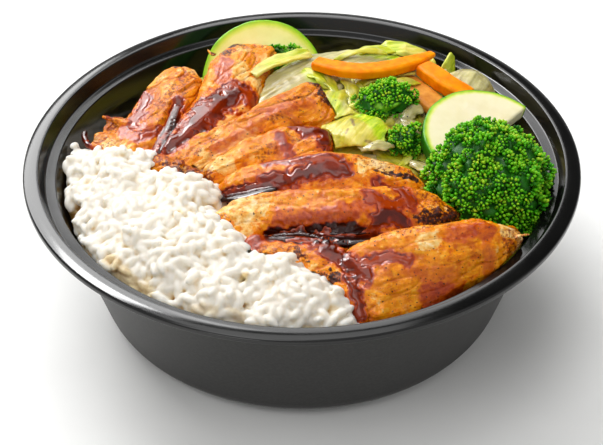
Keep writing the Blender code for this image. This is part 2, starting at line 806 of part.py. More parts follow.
def add_large_vegetables(placed, buds, zucchini, carrot):
    shape = dict(crown=(61.0, -14.5, 54.5), radii=(21.5, 23.0, 17.5), lean=(0.10, -0.35, 0.93))
    shape |= dict(foot=(52, -10, 38), stem=11.0, clusters=62, relief=3.6, detail=4, seed=21)
    add_broccoli(placed, "broccoli_large", buds, shape)

    size = (ZUCCHINI_RADIUS, ZUCCHINI_THICKNESS, zucchini)
    front = ((62, 3, 58), (0.148, -0.21, 0.966), (15.6, 17.3, 1.4))
    settle(half_moon("zucchini_front", *front, *size, 3.0), placed)
    back = ((-14, 57.5, 47.5), (0.0, -0.71, 0.71), (1.0, 0.0, 0.0))
    settle(half_moon("zucchini_back", *back, *size, 7.0), placed)

    line = [(43, 41.5, 63), (47, 36, 63), (51, 31, 62.5), (58, 25.5, 61.5)]
    settle(carrot_stick("carrot_short", line, 7.5, 5.0, 1, carrot), placed)
    line = [(5, 44, 63.7), (13.5, 38.7, 64.4), (22, 36.6, 64.9)]
    line += [(33, 39, 64.9), (42, 45, 64.4), (47, 49.5, 64)]
    settle(carrot_stick("carrot_long", line, 6.6, 3.8, 2, carrot, taper=0.45), placed)
    line = [(36, 40, 59), (43, 28, 59.5), (47, 21, 59.5)]
    settle(carrot_stick("carrot_pale", line, 8.5, 4.0, 3, carrot), placed)


def add_small_broccoli(placed, buds):
    shape = dict(crown=(29.0, 24.5, 61.0), radii=(12.5, 8.5, 6.8), lean=(0.0, -0.5, 0.86))
    shape |= dict(foot=(28.5, 15, 54), stem=7.0, clusters=26, relief=2.2, detail=3, seed=5)
    add_broccoli(placed, "broccoli_middle", buds, shape)
    shape = dict(crown=(35.5, 4.5, 57.0), radii=(7.0, 7.5, 6.5), lean=(0.0, -0.4, 0.9))
    shape |= dict(foot=(31, 6, 50), stem=5.0, clusters=18, relief=1.8, detail=3, seed=9)
    add_broccoli(placed, "broccoli_low", buds, shape)
    shape = dict(crown=(-6.0, 58.5, 55.5), radii=(9.5, 7.0, 6.5), lean=(0.0, -0.4, 0.9))
    shape |= dict(foot=(-3, 54, 46), stem=5.0, clusters=18, relief=1.8, detail=3, seed=13)
    add_broccoli(placed, "broccoli_back", buds, shape)


def add_leaves(placed, cabbage, onion):
    line = [(-17, 39, 62, 4, 0), (-12, 44, 63, 6, 0), (-6, 48, 63, 6, 5), (3, 53, 62.5, 5, 10)]
    settle(leaf("cabbage_strip", line, 1.0, cabbage, steps=(6, 3)), placed)

    line = [(-18, 26, 55, 8, 0), (-12, 31, 58, 12, 0), (-4, 40, 60, 16, 0)]
    line += [(10, 48, 60.5, 19, 0), (28, 51, 59.5, 16, 0), (42, 51, 57, 8, 0)]
    settle(leaf("onion_band", line, 2.0, onion, curl=-0.06, thickness=1.4 * MM), placed)

    line = [(8, 4, 57.5, 8, 0), (12, 7, 60, 15, 0), (19, 8.5, 61.3, 18, 0)]
    line += [(25, 7, 60.3, 16, 0), (30, 4, 57.5, 9, 0)]
    shape = dict(curl=-0.1, ruffle=1.0, steps=(7, 4))
    settle(leaf("cabbage_leaf_low", line, 3.0, cabbage, **shape), placed)
    line = [(21, 35, 60.5, 4, 0), (25, 37, 62, 5, 0), (32, 39.5, 62.3, 5, 0)]
    line += [(39, 41, 62, 5, 0), (44, 42, 60.5, 4, 0)]
    settle(leaf("cabbage_shred", line, 8.0, cabbage, ruffle=0.5, steps=(6, 2)), placed)
    line = [(2, 36, 57.5, 10, 0), (8, 28, 60, 18, 0), (16, 22, 60.5, 18, 0), (20, 12, 58, 8, 0)]
    shape = dict(curl=-0.08, ruffle=1.8, steps=(7, 4))
    settle(leaf("cabbage_leaf_middle", line, 4.0, cabbage, **shape), placed)

    line = [(19, 63, 55, 3, 0), (23, 60, 57.5, 6, 0), (29, 59, 59, 9, 0)]
    line += [(37, 61, 59.5, 13, 0), (43, 58, 58, 10, 0), (48, 51, 54, 5, 0)]
    shape = dict(curl=-0.1, ruffle=1.4, steps=(7, 4))
    settle(leaf("cabbage_leaf_back", line, 5.0, cabbage, **shape), placed)
    line = [(50, 46, 50, 9, 60), (53, 52, 54.5, 8, 60), (55, 58, 58.5, 3, 60)]
    shape = dict(ruffle=0.5, steps=(4, 2))
    settle(leaf("cabbage_leaf_tip", line, 6.0, cabbage, **shape), placed)

    line = [(50, 45, 55, 8, 0), (55, 44, 57.5, 16, 0), (61, 42, 57.5, 20, 0)]
    line += [(66, 40, 55, 14, 0), (69, 39, 51, 8, 0)]
    shape = dict(curl=-0.15, ruffle=0.5, thickness=1.6 * MM, steps=(6, 4))
    settle(leaf("onion_grey", line, 7.0, onion, **shape), placed)


def main():
    clear_scene()
    plastic = make_material("black_plastic", (0.012, 0.012, 0.013), 0.38)
    rice_skin = make_material("cooked_rice", (0.90, 0.86, 0.78), 0.45)
    chicken_skin = make_material("glazed_chicken", (0.62, 0.24, 0.05), 0.30)
    zucchini = make_material("zucchini", (0.80, 0.78, 0.38), 0.35)
    buds = make_material("broccoli", (0.06, 0.22, 0.02), 0.55)
    carrot = make_material("carrot", (0.90, 0.33, 0.02), 0.35)
    cabbage = make_material("cabbage", (0.66, 0.72, 0.22), 0.40)
    onion = make_material("onion", (0.72, 0.66, 0.42), 0.30)

    placed = [make_bowl(plastic)]
    rice = add_beds(placed, rice_skin, cabbage)
    add_front_chicken(placed, chicken_skin)
    add_middle_chicken(placed, chicken_skin)
    add_back_chicken(placed, chicken_skin)
    add_large_vegetables(placed, buds, zucchini, carrot)
    add_small_broccoli(placed, buds)
    add_leaves(placed, cabbage, onion)

    fuse(rice, scatter_grains([surface_tree(body) for body in placed if body is not rice]))
    rice.data.shade_smooth()
    rice.data.set_sharp_from_angle(angle=math.radians(50))
    for body in placed:
        if body.hide_render:
            bpy.data.objects.remove(body, do_unlink=True)


main()
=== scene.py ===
# Teriyaki chicken bowl: rice, glazed chicken and vegetables in a black takeaway bowl
import itertools
import json
import math
import random
from functools import partial

import bpy
import numpy as np
from mathutils import Matrix, Vector
from mathutils.bvhtree import BVHTree
from mathutils.kdtree import KDTree

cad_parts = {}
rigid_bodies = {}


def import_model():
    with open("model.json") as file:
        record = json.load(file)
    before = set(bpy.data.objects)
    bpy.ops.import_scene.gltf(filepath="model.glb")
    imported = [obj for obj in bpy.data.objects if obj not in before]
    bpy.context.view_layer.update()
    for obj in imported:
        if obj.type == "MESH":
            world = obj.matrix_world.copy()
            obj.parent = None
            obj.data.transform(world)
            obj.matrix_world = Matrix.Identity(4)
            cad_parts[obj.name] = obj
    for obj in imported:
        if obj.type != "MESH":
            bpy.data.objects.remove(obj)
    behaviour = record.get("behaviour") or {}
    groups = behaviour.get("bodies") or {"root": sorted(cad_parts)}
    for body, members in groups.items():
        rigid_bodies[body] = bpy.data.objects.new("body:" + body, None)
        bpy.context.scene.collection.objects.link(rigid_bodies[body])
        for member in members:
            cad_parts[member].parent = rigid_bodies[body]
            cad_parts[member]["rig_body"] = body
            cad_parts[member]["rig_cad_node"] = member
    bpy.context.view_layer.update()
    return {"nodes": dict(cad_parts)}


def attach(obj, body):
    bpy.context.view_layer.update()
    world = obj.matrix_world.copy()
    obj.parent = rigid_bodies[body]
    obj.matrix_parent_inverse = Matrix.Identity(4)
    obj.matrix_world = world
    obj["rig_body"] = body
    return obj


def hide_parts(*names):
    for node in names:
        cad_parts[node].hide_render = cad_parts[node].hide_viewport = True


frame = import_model()
mm = 0.001
chickenNodes = [f"chicken_{k}" for k in range(1, 9)]
print("frame loaded:", len(frame["nodes"]), "nodes")


# Working habits: selection, copies, modifiers

def deselectAll():
    if bpy.context.object and bpy.context.object.mode != "OBJECT":
        bpy.ops.object.mode_set(mode="OBJECT")
    bpy.ops.object.select_all(action="DESELECT")


def workOn(*pieces):
    # selects them; the first is the active one
    deselectAll()
    for piece in pieces:
        piece.select_set(True)
    bpy.context.view_layer.objects.active = pieces[0]


def joinUp(*pieces):
    # all become part of the first
    workOn(*pieces)
    if len(pieces) > 1:
        bpy.ops.object.join()
    return pieces[0]


def startEdit():
    # edit mode with everything selected
    bpy.ops.object.mode_set(mode="EDIT")
    bpy.ops.mesh.select_all(action="SELECT")


def endEdit():
    bpy.ops.object.mode_set(mode="OBJECT")


def primitive(kind, **settings):
    deselectAll()
    getattr(bpy.ops.mesh, f"primitive_{kind}_add")(**settings)
    return bpy.context.object


def nodeCopy(names, title):
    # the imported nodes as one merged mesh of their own, ready to be worked on
    copies = []
    for name in names:
        twin = frame["nodes"][name].copy()
        twin.data = twin.data.copy()
        twin.parent = None
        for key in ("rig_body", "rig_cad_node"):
            if key in twin:
                del twin[key]
        bpy.context.scene.collection.objects.link(twin)
        twin.hide_render = twin.hide_viewport = False
        twin.hide_set(False)
        copies.append(twin)
    piece = joinUp(*copies)
    piece.name = title
    piece.data.materials.clear()
    startEdit()
    bpy.ops.mesh.remove_doubles(threshold=0.002 * mm)
    endEdit()
    return piece


def applyModifier(piece, kind, **settings):
    workOn(piece)
    modifier = piece.modifiers.new(kind.lower(), kind)
    for key, value in settings.items():
        setattr(modifier, key, value)
    bpy.ops.object.modifier_apply(modifier=modifier.name)


def remeshed(piece, voxel, smoothing):
    applyModifier(piece, "REMESH", mode="VOXEL", voxel_size=voxel * mm, use_smooth_shade=True)
    applyModifier(piece, "SMOOTH", factor=0.5, iterations=smoothing)


def thinned(piece, triangles):
    # at most that many; a remeshed piece is all quads
    share = triangles / (2 * len(piece.data.polygons))
    if share < 1:
        applyModifier(piece, "DECIMATE", ratio=share)


def vertsOf(piece, key):
    values = np.empty(len(piece.data.vertices) * 3, np.float32)
    piece.data.vertices.foreach_get(key, values)
    return values.reshape(-1, 3).astype(float)


def pointsOf(piece):
    return vertsOf(piece, "co") / mm  # in millimetres


def surfaceOf(piece):
    return pointsOf(piece), vertsOf(piece, "normal")


def movePoints(piece, points):
    piece.data.vertices.foreach_set("co", (points * mm).astype(np.float32).ravel())
    piece.data.update()


def paint(piece, **layers):
    # one number or one place per vertex under each name, which the piece's material reads by it
    for name, values in layers.items():
        values = np.asarray(values, np.float32)
        kind, key = ("FLOAT_VECTOR", "vector") if values.ndim == 2 else ("FLOAT", "value")
        piece.data.attributes.new(name, kind, "POINT").data.foreach_set(key, values.ravel())


def alongFibres(points, angle):
    # places measured along fibres that run at that angle in plan, across them, and up
    turn = math.radians(angle)
    along = points[:, 0] * math.cos(turn) + points[:, 1] * math.sin(turn)
    across = -points[:, 0] * math.sin(turn) + points[:, 1] * math.cos(turn)
    return np.stack((along, across, points[:, 2]), axis=1)


def treeOf(piece):
    mesh = piece.data
    mesh.calc_loop_triangles()
    corners = np.empty(len(mesh.loop_triangles) * 3, np.int32)
    mesh.loop_triangles.foreach_get("vertices", corners)
    return BVHTree.FromPolygons([tuple(p) for p in pointsOf(piece)], corners.reshape(-1, 3).tolist())


def guideTree(guide):
    # the tree of a throwaway copy, to measure distances to
    tree = treeOf(guide)
    bpy.data.objects.remove(guide)
    return tree


def dropped(tree, x, y):
    # the point and normal straight below that place, from over all the food
    return tree.ray_cast(Vector((x, y, 90)), Vector((0, 0, -1)))[:2]


def smoothShade(piece, angle=None):
    workOn(piece)
    if angle is None:
        bpy.ops.object.shade_smooth()
    else:
        bpy.ops.object.shade_smooth_by_angle(angle=math.radians(angle))


def newObject(name, data):
    thing = bpy.data.objects.new(name, data)
    bpy.context.scene.collection.objects.link(thing)
    return thing


def finishPiece(piece, nodes, material):
    piece.data.materials.clear()
    piece.data.materials.append(material)
    piece.data.polygons.foreach_set("material_index", [0] * len(piece.data.polygons))
    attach(piece, "root")
    if nodes:
        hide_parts(*nodes)
    return piece


# Numbers used all over: noise, smooth steps, distances to drawn lines

def noiseAt(points, size, seed=0.0):
    # a smooth random value from -1 to 1 at each point, in lumps of that size in millimetres
    place = points / np.asarray(size, float) + np.array((seed * 17.13, seed * 9.71, seed * 5.37))
    cell = np.floor(place).astype(np.int64)
    inside = place - cell
    ease = inside ** 3 * (inside * (inside * 6 - 15) + 10)
    total = np.zeros(len(points))
    for corner in itertools.product((0, 1), repeat=3):
        at = cell + corner
        h = (at[:, 0] * 73856093) ^ (at[:, 1] * 19349663) ^ (at[:, 2] * 83492791)
        h = (h ^ (h >> 13)) * 1274126177
        h = h ^ (h >> 16)
        away = inside - corner
        pull = np.zeros(len(points))
        share = np.ones(len(points))
        for axis in range(3):
            pull += (((h >> (10 * axis)) & 1023) / 511.5 - 1) * away[:, axis]
            share *= ease[:, axis] if corner[axis] else 1 - ease[:, axis]
        total += pull * share
    return np.clip(total * 1.5, -1, 1)


def stepUp(low, high, values):
    share = np.clip((np.asarray(values, float) - low) / (high - low), 0, 1)
    return share * share * (3 - 2 * share)


def nearLine(points, line):
    # distance from each point to a drawn line, in plan where the line has no heights
    best = np.full(len(points), 1e9)
    flat = points[:, :len(line[0])]
    path = [np.array(p, float) for p in line]
    for a, b in zip(path, path[1:] or path):
        run = b - a
        share = np.clip(((flat - a) @ run) / max(run @ run, 1e-9), 0, 1)
        best = np.minimum(best, np.linalg.norm(flat - a - share[:, None] * run, axis=1))
    return best


def strokes(points, drawn, wander=0.0, seed=0.0):
    # how much each point lies under the drawn strokes (radius, strength, line): 0 outside, up to 1
    total = np.zeros(len(points))
    stray = noiseAt(points, 3.2, seed) * 0.6 + noiseAt(points, 1.5, seed + 3) * 0.4
    for radius, strength, line in drawn:
        reach = nearLine(points, line) / radius + wander * stray
        total = np.maximum(total, strength * (1 - stepUp(0.45, 1.25, reach)))
    return total


def spansOf(line):
    return [(Vector(b) - Vector(a)).length for a, b in zip(line, line[1:])]


def curvePoint(line, share):
    # a point at that share of the length of a smooth curve through the line's points
    spans = spansOf(line)
    goal = min(max(share, 0.0), 1.0) * sum(spans)
    i = 0
    while i < len(spans) - 1 and goal > spans[i]:
        goal -= spans[i]
        i += 1
    u = min(goal / spans[i], 1.0)
    b, c = Vector(line[i]), Vector(line[i + 1])
    a = Vector(line[i - 1]) if i else b * 2 - c
    d = Vector(line[i + 2]) if i + 2 < len(line) else c * 2 - b
    bend, twist = a * 2 - b * 5 + c * 4 - d, b * 3 - a - c * 3 + d
    return 0.5 * (b * 2 + (c - a) * u + bend * u * u + twist * u ** 3)


def scattered(title, shapes, placed):
    # one mesh of many true-size copies; placed holds (shape number, 4x4 matrix in mm, tone, depth)
    verts, faces, tones, depths, tips = [], [], [], [], []
    start = 0
    forms = []
    for shape in shapes:
        co = pointsOf(shape)
        polys = [tuple(p.vertices) for p in shape.data.polygons]
        rise = (co[:, 2] - co[:, 2].min()) / max(np.ptp(co[:, 2]), 1e-6)
        forms.append((co, polys, rise))
    for number, matrix, tone, depth in placed:
        co, polys, rise = forms[number]
        m = np.array(matrix)
        verts.append(co @ m[:3, :3].T + m[:3, 3])
        faces.extend(tuple(i + start for i in p) for p in polys)
        start += len(co)
        tones.append(np.full(len(co), tone))
        depths.append(np.full(len(co), depth))
        tips.append(rise)
    mesh = bpy.data.meshes.new(title)
    mesh.from_pydata((np.concatenate(verts) * mm).tolist(), [], faces)
    piece = newObject(title, mesh)
    paint(piece, tone=np.concatenate(tones), depth=np.concatenate(depths), tip=np.concatenate(tips))
    for shape in shapes:
        bpy.data.objects.remove(shape)
    smoothShade(piece)
    return piece


def standing(place, way, turn, size):
    # a matrix that puts a shape at a place with its own z along way, turned about it and sized
    way = Vector(way).normalized()
    side = way.orthogonal().normalized()
    side.rotate(Matrix.Rotation(turn, 3, way))
    other = way.cross(side)
    base = Matrix((side, other, way)).transposed().to_4x4()
    return Matrix.Translation(place) @ base @ Matrix.Diagonal((size, size, size, 1.0))


def spreadOut(points, order, spacing):
    # picks points, in that order, that keep the spacing to every one picked before
    taken = {}
    picked = []
    for i in order:
        p = points[i]
        cell = tuple(int(c // spacing) for c in p)
        near = itertools.product(*[(c - 1, c, c + 1) for c in cell])
        if any(np.sum((points[j] - p) ** 2) < spacing ** 2 for n in near for j in taken.get(n, ())):
            continue
        taken.setdefault(cell, []).append(i)
        picked.append(i)
    return picked


# Materials

def hexToLinear(code):
    parts = [int(code[i:i + 2], 16) / 255 for i in (1, 3, 5)]
    return (*[c / 12.92 if c <= 0.04045 else ((c + 0.055) / 1.055) ** 2.4 for c in parts], 1.0)


def setNode(node, settings):
    # properties, socket values, a ramp's stops, and what to link: a node or one of its output sockets
    for key, value in settings.items():
        if isinstance(value, bpy.types.Node):
            value = value.outputs[2 if getattr(value, "data_type", "") == "RGBA" else 0]
        if isinstance(value, bpy.types.NodeSocket):
            node.id_data.links.new(value, node.inputs[key])
        elif key == "stops":
            ramp = node.color_ramp.elements
            while len(ramp) < len(value):
                ramp.new(0.5)
            for stop, (place, colour) in zip(ramp, value):
                stop.position = place
                stop.color = hexToLinear(colour)
        elif isinstance(key, int) or key in node.inputs:
            node.inputs[key].default_value = hexToLinear(value) if isinstance(value, str) else value
        else:
            setattr(node, key, value)


def addNode(owner, kind, settings):
    node = owner.node_tree.nodes.new("ShaderNode" + kind)
    setNode(node, settings)
    return node


def newMaterial(name, sockets, painted=()):
    # the material, its shader, addNode for it, its Object coordinates, and what is painted on its pieces
    material = bpy.data.materials.new(name)
    material.use_nodes = True
    shader = material.node_tree.nodes["Principled BSDF"]
    setNode(shader, sockets)
    add = partial(addNode, material)
    place = add("TexCoord", {}).outputs["Object"]
    layers = [add("Attribute", {"attribute_name": layer}).outputs["Fac"] for layer in painted]
    return material, shader, add, place, layers


rgba = {"data_type": "RGBA"}  # makes a Mix node mix colours
timesPlus = {"operation": "MULTIPLY_ADD"}


def mouldedPolypropylene():
    # Thermoformed black polypropylene: glossy rim and inside, the outer wall matt with moulding grain
    material, shader, add, place, (matt,) = newMaterial(
        "moulded black polypropylene", {"IOR": 1.49, "Specular IOR Level": 0.5}, ["matt"])
    grain = add("TexNoise", {"Scale": 1100, "Detail": 2, "Vector": place})  # 0.9 mm grain
    haze = add("TexNoise", {"Scale": 60, "Detail": 3, "Vector": place})  # 15 mm clouds
    gloss = add("ValToRGB", {"stops": ((0.3, "#090909"), (0.7, "#10100f")), "Fac": haze})
    dull = add("ValToRGB", {"stops": ((0.35, "#191817"), (0.65, "#262523")), "Fac": grain})
    smear = add("Math", {**timesPlus, 0: haze, 1: 0.1, 2: 0.1})
    depth = add("MapRange", {"To Min": 0.03, "To Max": 0.3, "Value": matt})
    setNode(shader, {
        "Base Color": add("Mix", {**rgba, 0: matt, 6: gloss, 7: dull}),
        "Roughness": add("MapRange", {"To Min": smear, "To Max": 0.48, "Value": matt}),
        "Normal": add("Bump", {"Distance": 0.0001, "Height": grain, "Strength": depth})})
    return material


def steamedRice():
    # Steamed medium-grain rice: starchy and translucent, so light bleeds through and edges stay soft; its
    # creases carry painted shade, darker and warmer
    material, shader, add, place, (deep, soaked, tone) = newMaterial("steamed rice", {
        "Roughness": 0.45, "IOR": 1.38, "Specular IOR Level": 0.3, "Subsurface Weight": 1.0,
        "Subsurface Scale": 0.0035, "Subsurface Radius": (1.0, 0.94, 0.84)}, ("deep", "soaked", "tone"))
    cloud = add("TexNoise", {"Scale": 420, "Detail": 3, "Vector": place})  # 2 mm clouds
    # painted shade: 'deep' darkens and warms the rice where its surface lies below its neighbours, in creases
    # and holes
    gap = deep
    for source, gain in ((cloud, 0.2), (tone, 0.14)):
        gap = add("Math", {**timesPlus, 0: source, 1: gain, 2: gap})
    creaseShadedRice = add("ValToRGB", {"Fac": gap, "stops": (
        (0.25, "#e8e2d6"), (0.5, "#e6dbc4"), (0.75, "#e2cda2"), (0.95, "#d4b278"), (1.0, "#b48c50"))})
    sauced = add("ValToRGB", {"Fac": cloud, "stops": ((0.35, "#b4924e"), (0.65, "#e0cc9c"))})
    setNode(shader, {
        "Base Color": add("Mix", {**rgba, 0: soaked, 6: creaseShadedRice, 7: sauced}),
        "Normal": add("Bump", {"Strength": 0.15, "Distance": 0.0002, "Height": cloud})})
    return material


def grilledChicken():
    # Grilled, glazed chicken thigh: cream fibres under a wet amber film, red-brown sauce, char and pepper
    material, shader, add, place, (sear, char, pale, glaze, crack, fibrous, sauced) = newMaterial(
        "grilled glazed chicken", {
            "IOR": 1.45, "Subsurface Weight": 0.08, "Subsurface Scale": 0.001,
            "Subsurface Radius": (1.0, 0.45, 0.15)},
        ("sear", "char", "pale", "glaze", "crack", "fibrous", "sauced"))
    way = add("Attribute", {"attribute_name": "fibreWay"}).outputs["Vector"]  # mm, squeezed along fibres
    # 1 mm strands, 5 mm patches of film, 1.2 mm flecks and 2 mm mottling
    strand, patch, fleck, mottle = [
        add("TexNoise", {"Scale": scale, "Detail": 5, "Roughness": rough, "Vector": where})
        for scale, rough, where in (
            (0.95, 0.68, way), (200, 0.62, place), (840, 0.7, place), (460, 0.65, place))]
    streak = add("Mix", {"data_type": "FLOAT", 0: fibrous, 2: mottle, 3: strand})
    dry, film = [add("ValToRGB", {"Fac": streak, "stops": stops}) for stops in (
        ((0.32, "#cc7818"), (0.42, "#eaa236"), (0.52, "#f8cb78"), (0.64, "#fde4b4")),
        ((0.3, "#b44600"), (0.41, "#de7200"), (0.53, "#f29604"), (0.68, "#fcbc3c")))]
    wet = -0.72
    for source, gain in ((patch, 2.6), (glaze, 0.5), (pale, -0.8)):
        wet = add("Math", {**timesPlus, 0: source, 1: gain, 2: wet})
    torn = add("Math", {"operation": "MULTIPLY", 0: crack, 1: 0.6})
    crust = add("Math", {**timesPlus, 0: fleck, 1: 1.5, 2: -0.38})
    crust = add("Math", {**timesPlus, 0: sear, 1: 0.3, 2: crust})
    burnt = add("Math", {**timesPlus, 0: fleck, 1: 1.8, 2: -0.9})
    burnt = add("Math", {**timesPlus, 0: char, 1: 0.62, 2: burnt})
    thin, thick, browned, ember, soot = [
        add("MapRange", {"From Min": low, "From Max": high, "To Max": most, "Value": source})
        for low, high, most, source in (
            (0.2, 0.42, 1, wet), (0.8, 1.2, 0.75, wet), (0.52, 0.74, 1, crust), (0.3, 0.5, 1, burnt),
            (0.52, 0.72, 1, burnt))]
    # the sauce on it, from amber over red-brown to nearly black where it is thick
    stray = add("Math", {**timesPlus, 0: mottle, 1: 0.7, 2: -0.35})
    runny = add("Math", {"operation": "ADD", 0: sauced, 1: stray})
    syrup = add("ValToRGB", {"Fac": runny, "stops": (
        (0.15, "#e07c02"), (0.38, "#ca5600"), (0.58, "#a43400"), (0.76, "#6c1800"), (0.95, "#300800"))})
    coat = add("MapRange", {"From Min": 0.12, "From Max": 0.5, "Value": runny})
    # ground pepper: ragged specks of 0.4 to 0.6 mm, the place shifted by noise so that none is round
    ragged = add("VectorMath", {
        **timesPlus, 0: fleck.outputs["Color"], 1: (0.0012, 0.0012, 0.0012), 2: place})
    pepper = []
    for scale, size, share in ((430, 0.12, 0.35), (680, 0.14, 0.45)):
        cells = add("TexVoronoi", {"Scale": scale, "Vector": ragged})
        speck = add("Math", {"operation": "LESS_THAN", 0: cells.outputs["Distance"], 1: size})
        kind = add("SeparateColor", {"Color": cells.outputs["Color"]})
        chosen = add("Math", {"operation": "GREATER_THAN", 0: kind, 1: share})
        pepper.append((add("Math", {"operation": "MULTIPLY", 0: speck, 1: chosen}), "#34190c"))
    colour = dry
    for amount, tint in ((thin, film), (thick, "#bc5000"), (torn, "#a84400"), (browned, "#8e3604"),
                         (ember, "#5e230c"), (soot, "#22100b"), (coat, syrup), *pepper):
        colour = add("Mix", {**rgba, 0: amount, 6: colour, 7: tint})
    rough = add("MapRange", {"From Min": 0.1, "From Max": 0.8, "To Min": 0.38, "To Max": 0.13, "Value": wet})
    charred = add("Math", {"operation": "MAXIMUM", 0: rough, 1: soot})
    charred = add("Math", {"operation": "MINIMUM", 0: charred, 1: 0.5})
    height = add("Math", {"operation": "ADD", 0: fleck, 1: streak})
    relief = add("MapRange", {"To Min": 0.75, "To Max": 0.4, "Value": coat})
    setNode(shader, {
        "Base Color": colour,
        "Roughness": add("Mix", {"data_type": "FLOAT", 0: coat, 2: charred, 3: 0.08}),
        "Specular IOR Level": add("MapRange", {"To Min": 0.28, "To Max": 0.5, "Value": coat}),
        "Normal": add("Bump", {"Distance": 0.0004, "Height": height, "Strength": relief})})
    return material


def teriyakiGlaze():
    # Teriyaki sauce: a thick sugar and soy glaze, red-brown where thin, nearly black where it pools
    material, shader, add, place, (depth,) = newMaterial(
        "teriyaki glaze", {"Roughness": 0.06, "IOR": 1.47, "Specular IOR Level": 0.45}, ["depth"])
    cloud = add("TexNoise", {"Scale": 500, "Detail": 4, "Roughness": 0.65, "Vector": place})  # 2 mm clouds
    stray = add("Math", {**timesPlus, 0: cloud, 1: 0.16, 2: -0.08})
    thick = add("Math", {"operation": "ADD", 0: depth, 1: stray})  # millimetres over two
    setNode(shader, {
        "Base Color": add("ValToRGB", {"Fac": thick, "stops": (
            (0.0, "#a83c00"), (0.13, "#8a2800"), (0.3, "#541200"), (0.6, "#200400"))}),
        "Normal": add("Bump", {"Strength": 0.22, "Distance": 0.0004, "Height": cloud})})
    return material


def broccoliBuds():
    # Blanched broccoli buds: waxy vivid green, some yellow-green at the tips; painted shade darkens bud feet
    # and lower buds nearly to black, painted light brightens the tips
    material, shader, add, _, (tone, depth, tip) = newMaterial("blanched broccoli buds", {
        "Roughness": 0.45, "IOR": 1.4, "Specular IOR Level": 0.2, "Subsurface Weight": 0.2,
        "Subsurface Scale": 0.0008}, ("tone", "depth", "tip"))
    # painted light and shade: 'tip' darkens each bud towards its foot, 'depth' darkens the buds lower in a
    # tuft
    height = add("MapRange", {"To Min": 0.35, "Value": tip})
    height = add("Math", {"operation": "MULTIPLY", 0: height, 1: depth})
    base = add("ValToRGB", {"Fac": height, "stops": (
        (0.0, "#0e4202"), (0.25, "#2c8404"), (0.55, "#4eac0a"), (1.0, "#86d022"))})
    # yellow-green on some tips at random, only where the painted light is bright
    bright = add("MapRange", {"From Min": 0.6, "From Max": 1.0, "To Max": 0.85, "Value": tone})
    bright = add("Math", {"operation": "MULTIPLY", 0: bright, 1: height})
    setNode(shader, {"Base Color": add("Mix", {**rgba, 0: bright, 6: base, 7: "#c4dc34"})})
    return material


def broccoliStem():
    # Blanched broccoli stalk: smooth; painted dark green as shade where the core shows between the buds,
    # paler green below
    material, shader, add, place, (stalk,) = newMaterial("blanched broccoli stalk", {
        "Roughness": 0.5, "Specular IOR Level": 0.25, "Subsurface Weight": 0.2,
        "Subsurface Scale": 0.001}, ["stalk"])
    cloud = add("TexNoise", {"Scale": 250, "Detail": 3, "Vector": place})  # 4 mm clouds
    shade, green = [add("ValToRGB", {"Fac": cloud, "stops": stops}) for stops in (
        ((0.3, "#0e4a02"), (0.7, "#1f6e06")), ((0.3, "#5eae16"), (0.7, "#9cd636")))]
    # stalk picks the pale green; elsewhere the core carries the painted shade
    setNode(shader, {"Base Color": add("Mix", {**rgba, 0: stalk, 6: shade, 7: green})})
    return material


def sliceOfZucchini(rim):
    # Steamed zucchini: wet cream flesh that turns lime under a thin green skin
    material, shader, add, place, (edge,) = newMaterial("steamed zucchini", {
        "IOR": 1.4, "Specular IOR Level": 0.35, "Subsurface Weight": 0.35, "Subsurface Scale": 0.0015,
        "Subsurface Radius": (1.0, 0.95, 0.7)}, ["rim"])
    wet = add("TexNoise", {"Scale": 260, "Detail": 4, "Vector": place})  # 4 mm wet patches
    stray = add("Math", {**timesPlus, 0: wet, 1: 0.1, 2: -0.05})
    inward = add("Math", {"operation": "ADD", 0: edge, 1: stray})  # mm in from the skin, over ten
    flesh = add("ValToRGB", {"Fac": inward, "stops": rim})
    dew = add("ValToRGB", {"Fac": wet, "stops": ((0.35, "#ece6b8"), (0.6, "#ffffff"))})
    setNode(shader, {
        "Base Color": add("Mix", {**rgba, "blend_type": "MULTIPLY", 0: 0.2, 6: flesh, 7: dew}),
        "Roughness": add("MapRange", {"To Min": 0.25, "To Max": 0.5, "Value": wet}),
        "Normal": add("Bump", {"Strength": 0.25, "Distance": 0.0003, "Height": wet})})
    return material


def cutCarrot(name, light, deep):
    # Steamed carrot: bright, wet, mottled deeper and lighter orange
    material, shader, add, place, _ = newMaterial(name, {
        "IOR": 1.4, "Specular IOR Level": 0.1, "Subsurface Weight": 0.2, "Subsurface Scale": 0.0012,
        "Subsurface Radius": (1.0, 0.45, 0.05), "Roughness": 0.4})
    cloud = add("TexNoise", {"Scale": 300, "Detail": 4, "Vector": place})  # 3 mm clouds
    setNode(shader, {
        "Base Color": add("ValToRGB", {"Fac": cloud, "stops": ((0.3, deep), (0.65, light))}),
        "Normal": add("Bump", {"Strength": 0.2, "Distance": 0.0003, "Height": cloud})})
    return material


